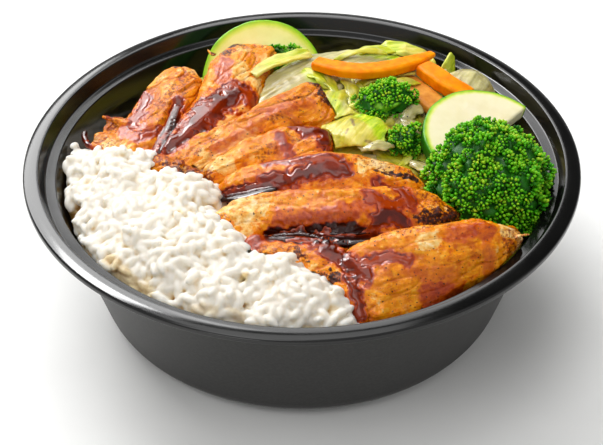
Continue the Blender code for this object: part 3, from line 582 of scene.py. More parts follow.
def cookedLeaf(name, stops, rough, clear):
    # Stir-fried cabbage or onion: limp, wet and translucent, striped along its veins
    material, shader, add, place, (tone, rib, lime, brown) = newMaterial(name, {
        "IOR": 1.4, "Roughness": rough, "Specular IOR Level": 0.35, "Subsurface Weight": 0.5,
        "Subsurface Scale": 0.0015, "Subsurface Radius": (1.0, 0.95, 0.25),
        "Coat Weight": clear, "Coat Roughness": 0.12}, ("tone", "rib", "lime", "brown"))
    way = add("Attribute", {"attribute_name": "veinWay"}).outputs["Vector"]  # mm, squeezed along veins
    cloud = add("TexNoise", {"Scale": 160, "Detail": 4, "Roughness": 0.6, "Vector": place})  # 6 mm clouds
    veins = add("TexNoise", {"Scale": 0.75, "Detail": 4, "Roughness": 0.6, "Vector": way})  # 1.3 mm veins
    shade = tone
    for source, gain in ((cloud, 0.5), (veins, 0.8)):
        shade = add("Math", {**timesPlus, 0: source, 1: gain, 2: shade})
    shade = add("Math", {"operation": "SUBTRACT", 0: shade, 1: 0.4})
    green, stain = [add("ValToRGB", {"Fac": veins, "stops": tints}) for tints in (
        ((0.35, "#8fb408"), (0.5, "#bcd418"), (0.65, "#dbe646")), ((0.4, "#6b5214"), (0.6, "#a98a3c")))]
    light = add("MapRange", {"From Min": 0.45, "From Max": 1.0, "To Max": 0.4, "Value": rib})
    cells = add("TexVoronoi", {"Scale": 140, "Vector": place})
    pepper = add("Math", {"operation": "LESS_THAN", 0: cells.outputs["Distance"], 1: 0.045})
    colour = add("ValToRGB", {"Fac": shade, "stops": stops})
    for amount, tint in ((lime, green), (brown, stain), (light, "#f8f0bc"), (pepper, "#2c1c10")):
        colour = add("Mix", {**rgba, 0: amount, 6: colour, 7: tint})
    setNode(shader, {
        "Base Color": colour,
        "Normal": add("Bump", {"Strength": 0.5, "Distance": 0.0004, "Height": veins})})
    return material


# Bowl: a circle drawn out ring by ring, from the middle of the base over the rim and down inside

bowlShape = {"segments": 160, "rim": 92.5, "height": 57.0, "wall": 1.1, "lean": 0.287, "corner": 68.15}


def roundedProfile(corners):
    # corners are (radius, height, fillet, steps)
    path = []
    for i, (radius, height, fillet, steps) in enumerate(corners):
        here = Vector((radius, height))
        if not fillet:
            path.append(here)
            continue
        before = (Vector(corners[i - 1][:2]) - here).normalized()
        after = (Vector(corners[i + 1][:2]) - here).normalized()
        half = before.angle(after) / 2
        centre = here + (before + after).normalized() * fillet / math.sin(half)
        start = here + before * fillet / math.tan(half) - centre
        end = here + after * fillet / math.tan(half) - centre
        turn = math.atan2(start.cross(end), start.dot(end))
        path.extend(centre + Matrix.Rotation(turn * k / steps, 2) @ start for k in range(steps + 1))
    return path


def outerRadius(z):
    return bowlShape["corner"] + bowlShape["lean"] * z


def wallRadius(z):
    # inside of the bowl's wall at that height
    return outerRadius(z) - bowlShape["wall"] * math.hypot(1, bowlShape["lean"])


def makeBowl():
    top, rim, wall = bowlShape["height"], bowlShape["rim"], bowlShape["wall"]
    # the base and foot, the outer wall, the step and underside of the flange, the lip, its crown, the inside
    path = roundedProfile([
        (4.0, 0.8, 0, 0), (50.0, 0.8, 0.4, 2), (51.2, 0.0, 0.4, 2), (bowlShape["corner"], 0.0, 12.0, 12),
        (outerRadius(51.2), 51.2, 0.8, 3), (86.7, 51.2, 0.8, 3), (88.4, top - wall, 0.5, 2),
        (rim - wall, top - wall, 0.4, 2), (rim - wall, top - 2.5, 0.2, 2), (rim, top - 2.5, 0.3, 3),
        (rim, top - 0.75, 0.9, 6), (91.2, top - 0.33, 0, 0), (90.6, top - 0.2, 0, 0),
        (89.8, top - 0.07, 0, 0), (89.0, top - 0.01, 0, 0), (88.3, top, 0, 0), (87.3, top - 0.05, 0.5, 5),
        (85.6, 52.3, 0.7, 4), (82.0, 52.3, 0.6, 5), (wallRadius(1.9), 1.9, 10.9, 12), (4.0, 1.9, 0, 0)])
    bowl = primitive("circle", vertices=bowlShape["segments"], radius=path[0].x * mm,
                     location=(0, 0, path[0].y * mm))
    bowl.name = "plastic_bowl"
    bpy.ops.object.transform_apply(location=True)
    startEdit()
    bpy.ops.mesh.extrude_edges_move()
    bpy.ops.mesh.merge(type="CENTER")
    endEdit()
    for vert in bowl.data.vertices:
        vert.select = vert.co.to_2d().length > mm
    bpy.ops.object.mode_set(mode="EDIT")
    for a, b in zip(path, path[1:]):
        bpy.ops.mesh.extrude_edges_move(TRANSFORM_OT_translate={"value": (0, 0, (b.y - a.y) * mm)})
        bpy.ops.transform.resize(value=(b.x / a.x, b.x / a.x, 1), center_override=(0, 0, b.y * mm))
    bpy.ops.mesh.extrude_edges_move()
    bpy.ops.mesh.merge(type="CENTER")
    bpy.ops.mesh.select_all(action="SELECT")
    bpy.ops.mesh.remove_doubles(threshold=0.001 * mm)
    bpy.ops.mesh.normals_make_consistent(inside=False)
    endEdit()
    p = pointsOf(bowl)
    outside = np.hypot(p[:, 0], p[:, 1]) > outerRadius(p[:, 2]) - 0.4
    paint(bowl, matt=(p[:, 2] < 51.4) & outside)
    smoothShade(bowl, 40)
    return bowl


bowl = finishPiece(makeBowl(), ["bowl"], mouldedPolypropylene())
print("bowl:", len(bowl.data.polygons), "faces")


# Rice: loose grains all over a packed core, melted into one surface

riceShape = {
    "length": 5.8, "width": 2.8, "kinds": 8, "seed": 11, "coreVoxel": 1.3, "voxel": 0.4, "smoothing": 2,
    "faces": 180000, "splitOffset": -6.0, "coreSink": 2.2, "clump": 12.0, "clumpRise": 1.5,
    # places tried for each layer, in that field of x and y and that far from the middle; middles of clumps
    "tries": 14000, "field": ((-84, 50), (-84, 52)), "reach": 81, "clumpTries": 3000, "clumpField": (-86, 56),
    # how high a grain may climb on the meat, the share that doesn't, how much lower they lie beside it
    "climb": 1.6, "stayOff": 0.85, "stoop": 0.8,
    # spacing of the grains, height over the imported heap, tilt
    "layers": ((2.1, -1.5, 0.12), (2.1, -0.6, 0.18), (2.3, 0.4, 0.27)),
    # gaps between clumps and at the wall: x, y, radius, depth
    "holes": ((-75, -22, 3.4, 5.0), (-17.8, -62.6, 1.6, 2.4)),
    # where the heap falls off in front of the meat: radius, share of the depth, line
    "fall": ((5.2, 1.0, ((-46.5, -5.5), (-40, -7.5), (-34.5, -12.5))),), "fallDepth": 5.5,
    # where sauce has run into the rice: radius, strength, line
    "soaked": (
        (2.6, 0.75, ((-60, -50), (-53, -57.5), (-47, -62.5))), (1.6, 0.5, ((-34, -71), (-26, -74.5))),
        (1.5, 0.45, ((-22, -73.5), (-18, -75.5))), (1.8, 0.9, ((-17.8, -62.6),))),
}


def grainForm(kind):
    # one grain lying along x: a sphere drawn long, thinner to its tip and slightly bent
    rng = random.Random(kind)
    grain = primitive("uv_sphere", segments=8, ring_count=7, radius=mm, rotation=(0, math.radians(90), 0))
    bpy.ops.object.transform_apply(rotation=True)
    x, y, z = pointsOf(grain).T
    long = riceShape["length"] / 2 * rng.uniform(0.82, 1.08)
    wide = riceShape["width"] / 2 * rng.uniform(0.92, 1.08)
    blunt = 1 - 0.25 * rng.random() * x
    bend = rng.uniform(0.1, 0.5)
    movePoints(grain, np.stack((
        x * long, y * wide * blunt + bend * x ** 2, z * wide * 0.86 * blunt - 0.4 * bend * x ** 2), axis=1))
    return grain


def makeRice():
    s = riceShape
    core = nodeCopy(["rice"], "steamed_rice")
    remeshed(core, s["coreVoxel"], 8)
    p, n = surfaceOf(core)
    tree = treeOf(core)
    sink = s["coreSink"] * stepUp(39, 42, p[:, 2]) * stepUp(0.0, 0.4, n[:, 2])
    for x, y, radius, depth in s["holes"]:
        gap = np.hypot(p[:, 0] - x, p[:, 1] - y) / radius
        sink += depth * (1 - stepUp(0.6, 1.3, gap)) * stepUp(42, 46, p[:, 2])
    sink += s["fallDepth"] * strokes(p, s["fall"]) * stepUp(42, 46, p[:, 2])
    movePoints(core, p - n * sink[:, None])
    meats = guideTree(nodeCopy(chickenNodes, "meat_guide"))
    rng = random.Random(s["seed"])
    field = s["clumpField"]
    seeds = np.array([(rng.uniform(*field), rng.uniform(*field), 0) for _ in range(s["clumpTries"])])
    clumps = seeds[spreadOut(seeds, range(len(seeds)), s["clump"])]
    placed = []
    for spacing, height, tilt in s["layers"]:
        spots, ways = [], []
        for _ in range(s["tries"]):
            x, y = [rng.uniform(*ends) for ends in s["field"]]
            if x + y > s["splitOffset"] or math.hypot(x, y) > s["reach"]:
                continue
            if any(math.hypot(x - hx, y - hy) < radius + 0.8 for hx, hy, radius, depth in s["holes"]):
                continue
            spot, way = dropped(tree, x, y)
            if spot is None:
                continue
            over = dropped(meats, x, y)[0]
            if over is not None and over.z > spot.z - 0.6:
                # a few grains climb over the lower edge of the meat
                if over.z > spot.z + s["climb"] or rng.random() < s["stayOff"]:
                    continue
                spot = Vector((x, y, over.z - 0.7))
            spots.append(tuple(spot))
            ways.append(way.normalized())
        spots = np.array(spots)
        fall = s["fallDepth"] * strokes(spots, s["fall"])
        for i in spreadOut(spots, range(len(spots)), spacing):
            x, y, z = spots[i]
            gaps = np.linalg.norm(clumps[:, :2] - (x, y), axis=1)
            k = int(np.argmin(gaps))
            bump = max(1 - (gaps[k] / (0.6 * s["clump"])) ** 2, -0.6)
            lift = s["clumpRise"] * bump + height + rng.uniform(-0.4, 0.4)
            near = meats.find_nearest(Vector((x, y, z)), 5.0)[3]
            if near is not None:
                lift -= s["stoop"] * (1 - near / 5.0)  # lower beside the meat
            lean = Vector((x - clumps[k][0], y - clumps[k][1], 0)) / s["clump"]
            up = (ways[i] + lean * 0.4 + Vector((rng.gauss(0, tilt), rng.gauss(0, tilt), 0.3))).normalized()
            place = Vector((x, y, z - fall[i])) + ways[i] * lift
            radial = Vector((x, y, 0)).normalized()
            for turn in [rng.uniform(0, math.tau) for _ in range(6)]:
                # turned until it fits beside the wall
                matrix = standing(place, up, turn, 1)
                reach = s["length"] / 2 * abs(matrix.col[0].to_3d().dot(radial)) + s["width"] / 2
                if place.to_2d().length + reach < wallRadius(place.z) - 0.15:
                    placed.append((rng.randrange(s["kinds"]), matrix, rng.random(), lift))
                    break
    joinUp(core, scattered("loose_grains", [grainForm(k) for k in range(s["kinds"])], placed))
    remeshed(core, s["voxel"], s["smoothing"])
    thinned(core, s["faces"])
    near = KDTree(len(placed))
    for i, grain in enumerate(placed):
        near.insert(grain[1].translation, i)
    near.balance()
    q = pointsOf(core)
    tones = [placed[near.find(Vector(spot))[1]][2] for spot in q]
    hits = [dropped(tree, x, y)[0] for x, y, z in q]
    above = np.array([z - hit.z if hit is not None else 1.0 for (x, y, z), hit in zip(q, hits)])
    above = np.maximum(above, -4.0)
    # deep is painted shade: near 1 where the surface lies below the mean height round it
    paint(core, tone=tones, deep=1 - stepUp(-2.8, 0.8, above - localMean(q, above, 1.5)),
          soaked=strokes(q, s["soaked"], 0.5, 7.0))
    smoothShade(core)
    print("rice:", len(placed), "grains")
    return core


def localMean(points, values, cell):
    # the mean of the values round each point, over about three cells of that size in plan
    place = np.floor(points[:, :2] / cell).astype(int)
    place -= place.min(axis=0) - 3
    size = place.max(axis=0) + 4
    total, count = np.zeros(size), np.full(size, 1e-6)
    np.add.at(total, (place[:, 0], place[:, 1]), values)
    np.add.at(count, (place[:, 0], place[:, 1]), 1)
    for _ in range(2):
        for axis in (0, 1):
            total = total + np.roll(total, 1, axis) + np.roll(total, -1, axis)
            count = count + np.roll(count, 1, axis) + np.roll(count, -1, axis)
    return (total / count)[place[:, 0], place[:, 1]]


rice = finishPiece(makeRice(), ["rice"], steamedRice())
print("rice:", len(rice.data.polygons), "faces")


# Chicken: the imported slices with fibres, cracks and browning worked in

chickenShape = {
    "voxel": 0.42, "smoothing": 5,
    "lump": 0.55, "strand": 0.24, "thread": 0.12, "blister": 0.22, "crack": 0.4, "calm": 0.7, "inset": 0.25,
    # which way the fibres of each slice run, in degrees from +X
    "grainAngle": {1: 52, 2: 58, 3: 36, 4: 30, 5: 6, 6: 0, 7: 10, 8: 16},
    # how plainly they show
    "fibrous": {1: 0.9, 2: 0.6, 3: 0.6, 4: 0.55, 5: 0.3, 6: 0.25, 7: 0.4, 8: 0.32},
    # where the meat dips beside a gap and sauce gathers: radius, depth, line
    "dips": [
        (4.6, 2.0, [(-9, -43.4), (-2, -44.4), (6, -45), (13, -45.2), (21, -45.6)]),
        (3.2, 1.3, [(-25.5, -20.4), (-20, -21.4), (-14, -21.8), (-7, -21.4)]),
        (2.8, 1.2, [(-43.3, 25), (-44.6, 20), (-45.9, 14), (-48.4, 8), (-50, 3.5)])],
}

# radius, strength and line of each stroke, drawn in plan: burnt, browned, pale and sauced meat
charStrokes = [
    (2.6, 0.8, [(-52, 44), (-48, 46), (-44, 47)]),
    (1.6, 0.8, [(-54, 38), (-57, 34), (-59, 31)]),
    (1.8, 0.7, [(-45, -5.5), (-39, -8.5), (-34, -11)]),
    (2.6, 0.9, [(-31, 54), (-27, 55), (-22, 57)]),
    (2.0, 0.8, [(-27, 51), (-26, 50)]),
    (2.0, 0.9, [(1, 31), (4, 30), (7, 25), (9.5, 21)]),
    (1.1, 1.0, [(24, -17.5), (30.5, -17.8), (36.5, -17.7)]),
    (1.6, 0.6, [(-25.2, -35.4), (-24, -38)]),
    (1.2, 0.7, [(4, -38.8), (10, -39.2), (16, -39.8)]),
    (3.0, 0.95, [(39, -36.5), (44, -35.5), (49, -33.8)]),
    (1.1, 0.8, [(-1.5, -51), (-0.9, -53.8), (2.4, -56)]),
    (1.3, 0.9, [(6, -60), (10.3, -60.9), (13.3, -60.8), (8.5, -62.3)]),
]
searStrokes = [
    (4.0, 0.8, [(-72, 6), (-74, 12), (-66, 10)]),
    (5.0, 0.7, [(-50, 20), (-44, 32), (-40, 40)]),
    (4.0, 0.7, [(-30, 50), (-20, 56), (-13, 58)]),
    (3.0, 0.8, [(-10, 13), (-2, 18), (4, 23), (8, 22)]),
    (3.0, 0.7, [(-40, -2), (-34, 2), (-28, 4)]),
    (3.6, 1.1, [(-50, -1), (-44, -5), (-38, -8), (-32, -11)]),
    (4.0, 1.0, [(-57, 33), (-62, 27), (-66, 22)]),
    (3.0, 0.6, [(-14, -4), (-6, 0), (2, 2)]),
    (3.5, 0.6, [(18, -13), (28, -14), (38, -16)]),
    (3.0, 0.6, [(2, -27), (12, -26), (22, -27)]),
    (4.0, 0.8, [(34, -33), (42, -31), (48, -30)]),
    (3.0, 0.8, [(-17, -50), (-8, -52), (0, -54)]),
    (3.0, 0.6, [(24, -50), (34, -49), (44, -46)]),
    (3.0, 0.8, [(64, -50), (68, -46), (66, -42)]),
]
paleStrokes = [
    (4.5, 0.9, [(-22, 40), (-18.8, 35.8), (-16, 33.8)]),
    (2.4, 1.0, [(-36, 10.2), (-29.6, 15.2), (-22.9, 20.4), (-17.9, 24.4)]),
    (2.6, 1.0, [(-33, -4.8), (-27.3, -1.2), (-20.7, 3.5), (-15.7, 6.5)]),
    (2.2, 1.0, [(-33.2, -5.5), (-30, -8), (-24, -9)]),
    (3.2, 0.9, [(19.5, -16), (22.8, -14.2), (26.6, -15.5)]),
    (4.5, 0.85, [(-24, -30), (-19.6, -31.6), (-14.5, -33.4), (-18, -37)]),
    (3.4, 0.9, [(63.6, -45.8), (66.2, -45.5), (67.5, -46.7)]),
    (2.6, 0.7, [(36, -54.6), (40.7, -53.3), (44.5, -52)]),
    (3.5, 0.5, [(-60, 12), (-66, 10), (-58, 8)]),
]
sauceStrokes = [
    (2.8, 0.9, [(-55.0, 31.5), (-54.8, 27), (-55.6, 23.5), (-57, 20), (-58, 17)]),
    (4.2, 0.66, [(-60, 15.2), (-56.2, 13.1), (-52.4, 12.9)]),
    (2.4, 0.9, [(-54, 11.5), (-51, 12.2), (-48.6, 14)]),
    (2.4, 1.0, [(-42.9, 27), (-43.9, 20), (-45.7, 13.8), (-48.1, 8.4), (-50.4, 2.3)]),
    (3.0, 0.6, [(-27, 45), (-27.3, 40), (-27.8, 35), (-25.6, 31)]),
    (3.6, 0.9, [(-23, 33), (-19.3, 29.7), (-17.2, 27.4)]),
    (6.5, 1.0, [(-24.5, 28), (-28, 24), (-31.4, 20), (-35, 15.5)]),
    (4.6, 1.0, [(-35, 16.5), (-38.6, 11.5), (-41.8, 7.5), (-45, 3.8)]),
    (2.4, 0.5, [(-10.7, 13.8), (-5.6, 15.8), (-0.5, 18.1), (3.6, 18.7)]),
    (2.2, 0.5, [(-29, 0.5), (-24, 3.3), (-19, 6.6), (-14.7, 9.4)]),
    (2.0, 0.8, [(-7.2, 2), (-5.2, -2), (-3.9, -4.4), (-2, -8)]),
    (3.2, 1.0, [(-1.9, 7.5), (1.5, 4.8), (5.5, 5.4), (9.5, 6.7), (8.1, 0.5)]),
    (2.6, 0.9, [(-11, -12.3), (-6.4, -12.7), (-0.6, -13.6), (5.3, -14.4), (11.1, -15.4)]),
    (3.2, 1.0, [(-12.2, -19), (-7, -20.6), (-1.9, -19.9), (3.3, -17.6), (9.1, -17.6), (13.9, -18.3)]),
    (2.4, 1.0, [(-25.3, -20), (-20.7, -21.1), (-15.4, -21.3), (-10.3, -21.2)]),
    (2.6, 0.9, [(24.5, -21.5), (28.5, -25.5), (32.2, -30), (34, -34)]),
    (1.8, 0.5, [(-3.1, -29), (5.2, -26), (13.9, -25), (20, -29)]),
    (3.2, 0.62, [(-6.7, -38.9), (2.5, -39.6), (8.7, -39.8), (15, -38.3), (21.4, -35.7)]),
    (3.2, 0.85, [(22, -33), (25.7, -35.5), (29, -36), (33, -33)]),
    (2.6, 1.0, [(23.1, -40.7), (26.3, -38.4), (30.1, -37.7), (32, -39.5)]),
    (3.4, 1.0, [(-3, -43.4), (4.4, -44.5), (10.6, -46), (16.8, -45.6), (23.1, -44.5)]),
    (2.6, 0.8, [(-16.1, -47.1), (-12.4, -45.5), (-7.4, -45), (-2.5, -45.8), (1.8, -48.1)]),
    (2.0, 0.8, [(-17.3, -48.1), (-14.8, -49.4)]),
    (2.4, 0.9, [(3.7, -50.7), (6.8, -48.6), (9.8, -50.4), (6.1, -53.2)]),
    (3.4, 1.0, [(6.1, -52.3), (9.8, -54), (12.8, -56.8), (15.7, -59.8), (19.3, -61.9)]),
    (2.0, 0.9, [(18.2, -57.8), (23, -57.8), (27.8, -57.9), (32, -59)]),
    (2.2, 1.0, [(14, -62), (15, -64.5), (16.2, -67.6), (17.3, -70.4), (16.7, -73.5)]),
    (2.8, 0.6, [(45.1, -52.1), (48.9, -50.5), (53.2, -49.4), (57, -48.2)]),
    (1.8, 0.5, [(56.9, -50.4), (56.8, -53.6), (57.1, -55.5), (56.5, -57.5)]),
    (2.4, 0.45, [(31.4, -60.7), (36.8, -62.3), (41.7, -63), (47.3, -63.1)]),
    (3.2, 0.7, [(38.6, -66.6), (43.5, -66.6), (48, -65.2)]),
]
# where a thin amber film lies over the meat, besides the margins of the sauce
filmStrokes = [
    (9.0, 0.42, [(26, -58), (40, -57), (54, -54), (64, -50)]),
    (4.0, 0.5, [(-4, -30), (10, -28), (22, -28)]),
    (3.0, 0.5, [(-42, 34), (-46, 24), (-50, 15)]),
    (3.0, 0.5, [(-20, 14), (-8, 20), (2, 26)]),
    (2.6, 0.6, [(16.5, -63), (17.5, -69), (17.5, -74)]),
]


tornShape = {
    # slice: root, tip and thickness of each torn strand at its edge
    1: (((-57, 21.5, 53), (-67.4, 25.4, 51.6), 6.0), ((-57, 18, 52.2), (-68.4, 21, 51), 7.0),
        ((-58, 14, 52), (-71.6, 16.4, 51), 7.0), ((-58, 10, 51.6), (-72.4, 12, 50.8), 7.0)),
    2: (((-48, 2, 54), (-50.6, -1.4, 54.6), 2.0), ((-31, 54, 61), (-34.4, 56.2, 61.6), 1.8)),
    3: (((5, 30, 61), (4.4, 33.8, 62.2), 1.8), ((-39, -6, 57), (-42.6, -7.8, 57.2), 2.0),
        ((-49, -1.5, 53.6), (-32, -11, 54.4), 7.0)),
    7: (((-22, -49, 56.6), (-25.6, -50.6, 56.8), 1.8), ((0, -56, 57), (-1.6, -59, 57.6), 2.0)),
    8: (((66, -48, 58.5), (70.0, -46.6, 58.8), 1.8), ((9, -61, 57), (5.8, -62.4, 57.4), 1.8)),
}


def addStrand(root, tip, thickness):
    # a torn strand: a cone from root to tip, drawn out flat and bent a little
    run = Vector(tip) - Vector(root)
    strand = primitive("cone", vertices=8, radius1=thickness / 2 * mm, radius2=thickness / 4 * mm,
                       depth=run.length * mm)
    startEdit()
    bpy.ops.mesh.subdivide(number_cuts=3)
    endEdit()
    p = pointsOf(strand)
    share = p[:, 2] / run.length + 0.5
    flat = np.stack((p[:, 0] * 1.3 + 0.5 * np.sin(share * 5), p[:, 1] * 0.7, p[:, 2]), axis=1)
    turn = np.array(run.to_track_quat("Z", "Y").to_matrix())
    movePoints(strand, flat @ turn.T + (np.array(root) + np.array(tip)) / 2)
    return strand


def widened(drawn, factor, extra):
    return [(factor * radius + extra, strength, line) for radius, strength, line in drawn]


def makeSlice(number):
    s = chickenShape
    piece = nodeCopy([f"chicken_{number}"], f"chicken_slice_{number}")
    joinUp(piece, *[addStrand(*torn) for torn in tornShape.get(number, ())])
    remeshed(piece, s["voxel"], s["smoothing"])
    p, n = surfaceOf(piece)
    way = alongFibres(p, s["grainAngle"][number])
    glaze = strokes(p, sauceStrokes, 1.0, 2.0)
    dips = strokes(p, s["dips"], 0.25, 9.0)
    sway = np.stack((np.zeros(len(p)), noiseAt(way, 12, number), noiseAt(way, 10, number + 20)), axis=1)
    bent = way + sway * 2.4
    fibres = 1 - 2 * np.abs(noiseAt(bent, (13, 2.7, 3.0), number))
    threads = noiseAt(bent, (6, 1.0, 1.2), number + 40)
    cracks = stepUp(0.7, 0.95, 1 - np.abs(noiseAt(bent, (15, 5.0, 5.0), number + 60)) * 2.6)
    blisters = noiseAt(p, 2.2, number + 80) + 0.6 * noiseAt(p, 1.1, number + 90)
    broken = stepUp(-0.1, 0.45, noiseAt(p, 8.0, number + 70))
    share = s["fibrous"][number]
    lumps = s["lump"] * noiseAt(way, (11, 6, 6), number + 5)
    rough = s["blister"] * blisters * (1.6 - share - 0.3 * broken)
    ropes = share * (s["strand"] * (fibres - 0.5) * (0.4 + 0.6 * broken) + s["thread"] * threads)
    move = lumps + rough + ropes - s["crack"] * cracks * (0.3 + share)
    # smoother and lower under the sauce
    move = move * (1 - s["calm"] * glaze) - s["inset"] * stepUp(0.75, 1.0, glaze) - dips
    topside = stepUp(-0.5, 0.2, n[:, 2])
    movePoints(piece, p + n * (move * topside)[:, None])
    margins = strokes(p, widened(sauceStrokes, 1, 2.0), 0.6, 2.0)
    spread = strokes(p, widened(sauceStrokes, 1.2, 0), 0.8, 2.0)
    paint(piece, fibreWay=bent * (0.13, 1.0, 1.0), sear=strokes(p, searStrokes, 0.8, number),
          char=strokes(p, charStrokes, 1.2, number + 1), pale=strokes(p, paleStrokes, 0.9, number + 2),
          glaze=np.maximum(margins, strokes(p, filmStrokes, 0.8, 5.0)),
          sauced=np.maximum(0.78 * spread, stepUp(0.5, 1.5, dips)),
          crack=np.clip(cracks - 0.3 * threads, 0, 1) * (0.3 + 0.7 * share),
          fibrous=np.clip(share + 0.35 * noiseAt(p, 9, number + 15), 0, 1))
    return piece


meat = grilledChicken()
slices = []
for number, node in enumerate(chickenNodes, 1):
    slices.append(finishPiece(makeSlice(number), [node], meat))
print("chicken:", sum(len(piece.data.polygons) for piece in slices), "faces")


# Sauce: a skin over all the slices, sunk into them except in the drawn strokes, with pools and beads

sauceShape = {
    # thickness of the film, how deep it is sunk where there is none, extra on the drops, least cover, in mm
    "film": 0.1, "sink": 1.5, "drop": 0.28, "cover": 0.05,
    "voxel": 0.45, "smoothing": 12, "beadStep": 0.8, "underside": -0.25, "faces": 185000,
}
saucePools = [
    # half width, line along the surface of the sauce that stands in a gap
    (3.0, [(-43, 25.4, 57.9), (-44.3, 20, 56.8), (-45.8, 14.5, 55.6), (-47.6, 9, 54.7), (-49.6, 4, 53.5)]),
    (2.7, [(-25.8, -20.4, 52.6), (-21.6, -21.8, 54.7), (-17, -22.2, 56.1), (-13, -22, 57.3),
           (-9, -21.6, 58.1)]),
    (3.0, [(-9, -43.4, 55.6), (-1, -44.6, 56.0), (6, -45.2, 56.0), (13, -45.4, 55.8), (20.4, -46, 56.1)]),
    (2.0, [(20, -24.5, 58.5), (26, -25.5, 58.2), (31, -28, 57.5)]),
    (1.8, [(5, -50.6, 56.2), (9, -53.4, 55.9), (12, -56.8, 55.2)]),
]
sauceDrops = [
    # place and half width of beads of sauce that catch the window's light
    (7.1, -49.0, 57.3, 1.8), (9.2, -51.4, 56.9, 1.7), (4.2, -49.0, 57.5, 1.4),
]


def dropForm():
    # a bead of sauce: a sphere pressed flat
    bead = primitive("uv_sphere", segments=12, ring_count=8, radius=mm)
    movePoints(bead, pointsOf(bead) * (1.0, 1.0, 0.36))
    return bead


def makeSauce():
    s = sauceShape
    sauce = nodeCopy(chickenNodes, "teriyaki_sauce")
    remeshed(sauce, s["voxel"], s["smoothing"])
    p, n = surfaceOf(sauce)
    wet = strokes(p, sauceStrokes, 1.0, 2.0)
    rise = np.interp(wet, (0.3, 0.6, 0.85, 1.0), (-s["sink"], -0.6, -0.08, s["film"]))
    rise += s["drop"] * stepUp(0.85, 1.0, wet) * (0.5 + 0.5 * noiseAt(p, 6, 4))
    rise += (0.1 * noiseAt(p, 4.2, 6) + 0.03 * noiseAt(p, 1.6, 8)) * stepUp(0.5, 0.8, wet)
    rise -= strokes(p, chickenShape["dips"], 0.25, 9.0) * stepUp(-0.5, 0.2, n[:, 2])
    rise[n[:, 2] < s["underside"]] = -s["sink"]
    movePoints(sauce, p + n * rise[:, None])
    placed = []
    for half, line in saucePools:
        steps = int(sum(spansOf(line)) / s["beadStep"])
        for i in range(steps + 1):
            narrow = half * (0.45 + 0.55 * math.sin(math.pi * (0.08 + 0.84 * i / steps)))
            spot = curvePoint(line, i / steps) - Vector((0, 0, 0.34 * narrow))
            placed.append((0, standing(spot, (0, 0.15, 1), 0, narrow), 0, 0))
    facing = Vector((-0.28, -0.24, 0.93))
    for x, y, z, half in sauceDrops:
        spot = Vector((x, y, z)) - facing * 0.22 * half
        placed.append((0, standing(spot, facing, 0, half), 0, 0))
    joinUp(sauce, scattered("sauce_beads", [dropForm()], placed))
    remeshed(sauce, s["voxel"], 3)
    q, n = surfaceOf(sauce)
    wet = strokes(q, sauceStrokes, 1.0, 2.0)
    meats = guideTree(joinedGuide(slices))
    # where the sauce is meant to show, it clears the meat's relief
    for i in np.nonzero((wet > 0.85) & (n[:, 2] > s["underside"]))[0]:
        here = Vector(q[i])
        near, way = meats.find_nearest(here)[:2]
        cover = (s["cover"] + 0.3) * float(stepUp(0.85, 0.97, wet[i])) - 0.3
        if (here - near).dot(way) < cover:
            q[i] = near + way * cover
    movePoints(sauce, q)
    applyModifier(sauce, "SMOOTH", factor=0.5, iterations=1)
    thinned(sauce, s["faces"])
    q, n = surfaceOf(sauce)
    depth = np.zeros(len(q))
    for i in np.nonzero(n[:, 2] > s["underside"])[0]:
        here = Vector(q[i])
        near, way, _, gap = meats.find_nearest(here)
        depth[i] = gap if (here - near).dot(way) > 0 else 0.0
    paint(sauce, depth=depth / 2)
    smoothShade(sauce)
    return sauce


def joinedGuide(pieces):
    return joinUp(*[newObject("guide", piece.data.copy()) for piece in pieces])


sauce = finishPiece(makeSauce(), [], teriyakiGlaze())
print("sauce:", len(sauce.data.polygons), "faces")


# Broccoli: crowns studded with buds, on their stalks

broccoliShape = {
    # how far down buds grow, spacing and radius of the tufts, radius and number of their buds,
    # how bright the top buds are painted (painted light; lower buds get painted shade), and where the stalk
    # is bare: radius, strength, line
    "broccoli_large": {
        "centre": (61, -14.5, 54.5), "lean": (0.10, -0.35, 0.93), "skirt": -0.45, "spacing": 3.45,
        "tuft": 2.15, "bud": 0.68, "count": 22, "light": 1.08, "bare": ()},
    "broccoli_middle": {
        "centre": (29, 24.5, 61), "lean": (0, -0.5, 0.86), "skirt": -0.3, "spacing": 2.7,
        "tuft": 1.7, "bud": 0.58, "count": 18, "light": 1.35, "bare": (
            (1.5, 1.0, ((29.2, 15.6, 57.8), (28.9, 17.7, 59.7), (28.4, 17.6, 62.6))),
            (1.0, 1.0, ((28.9, 17.7, 59.7), (26.8, 17.5, 61.5), (25.5, 19.5, 62.6))),
            (1.0, 1.0, ((28.6, 17.6, 60.6), (31.5, 17.5, 62.2), (33.2, 18.5, 63.3))))},
    "broccoli_low": {
        "centre": (35.5, 4.5, 57), "lean": (0, -0.4, 0.9), "skirt": -0.42, "spacing": 2.6,
        "tuft": 1.6, "bud": 0.57, "count": 18, "light": 1.15, "bare": ()},
    "broccoli_back": {
        "centre": (-6, 58.5, 55.5), "lean": (0, -0.3, 0.95), "skirt": -0.42, "spacing": 2.9,
        "tuft": 1.7, "bud": 0.6, "count": 18, "light": 1.15, "bare": ()},
}


def budForm():
    # one bud standing on its stalk: a small dome, narrower at its foot
    bud = primitive("uv_sphere", segments=5, ring_count=4, radius=mm)
    x, y, z = pointsOf(bud).T
    narrow = 0.75 + 0.25 * z
    movePoints(bud, np.stack((x * narrow, y * narrow, z * 1.35), axis=1))
    return bud


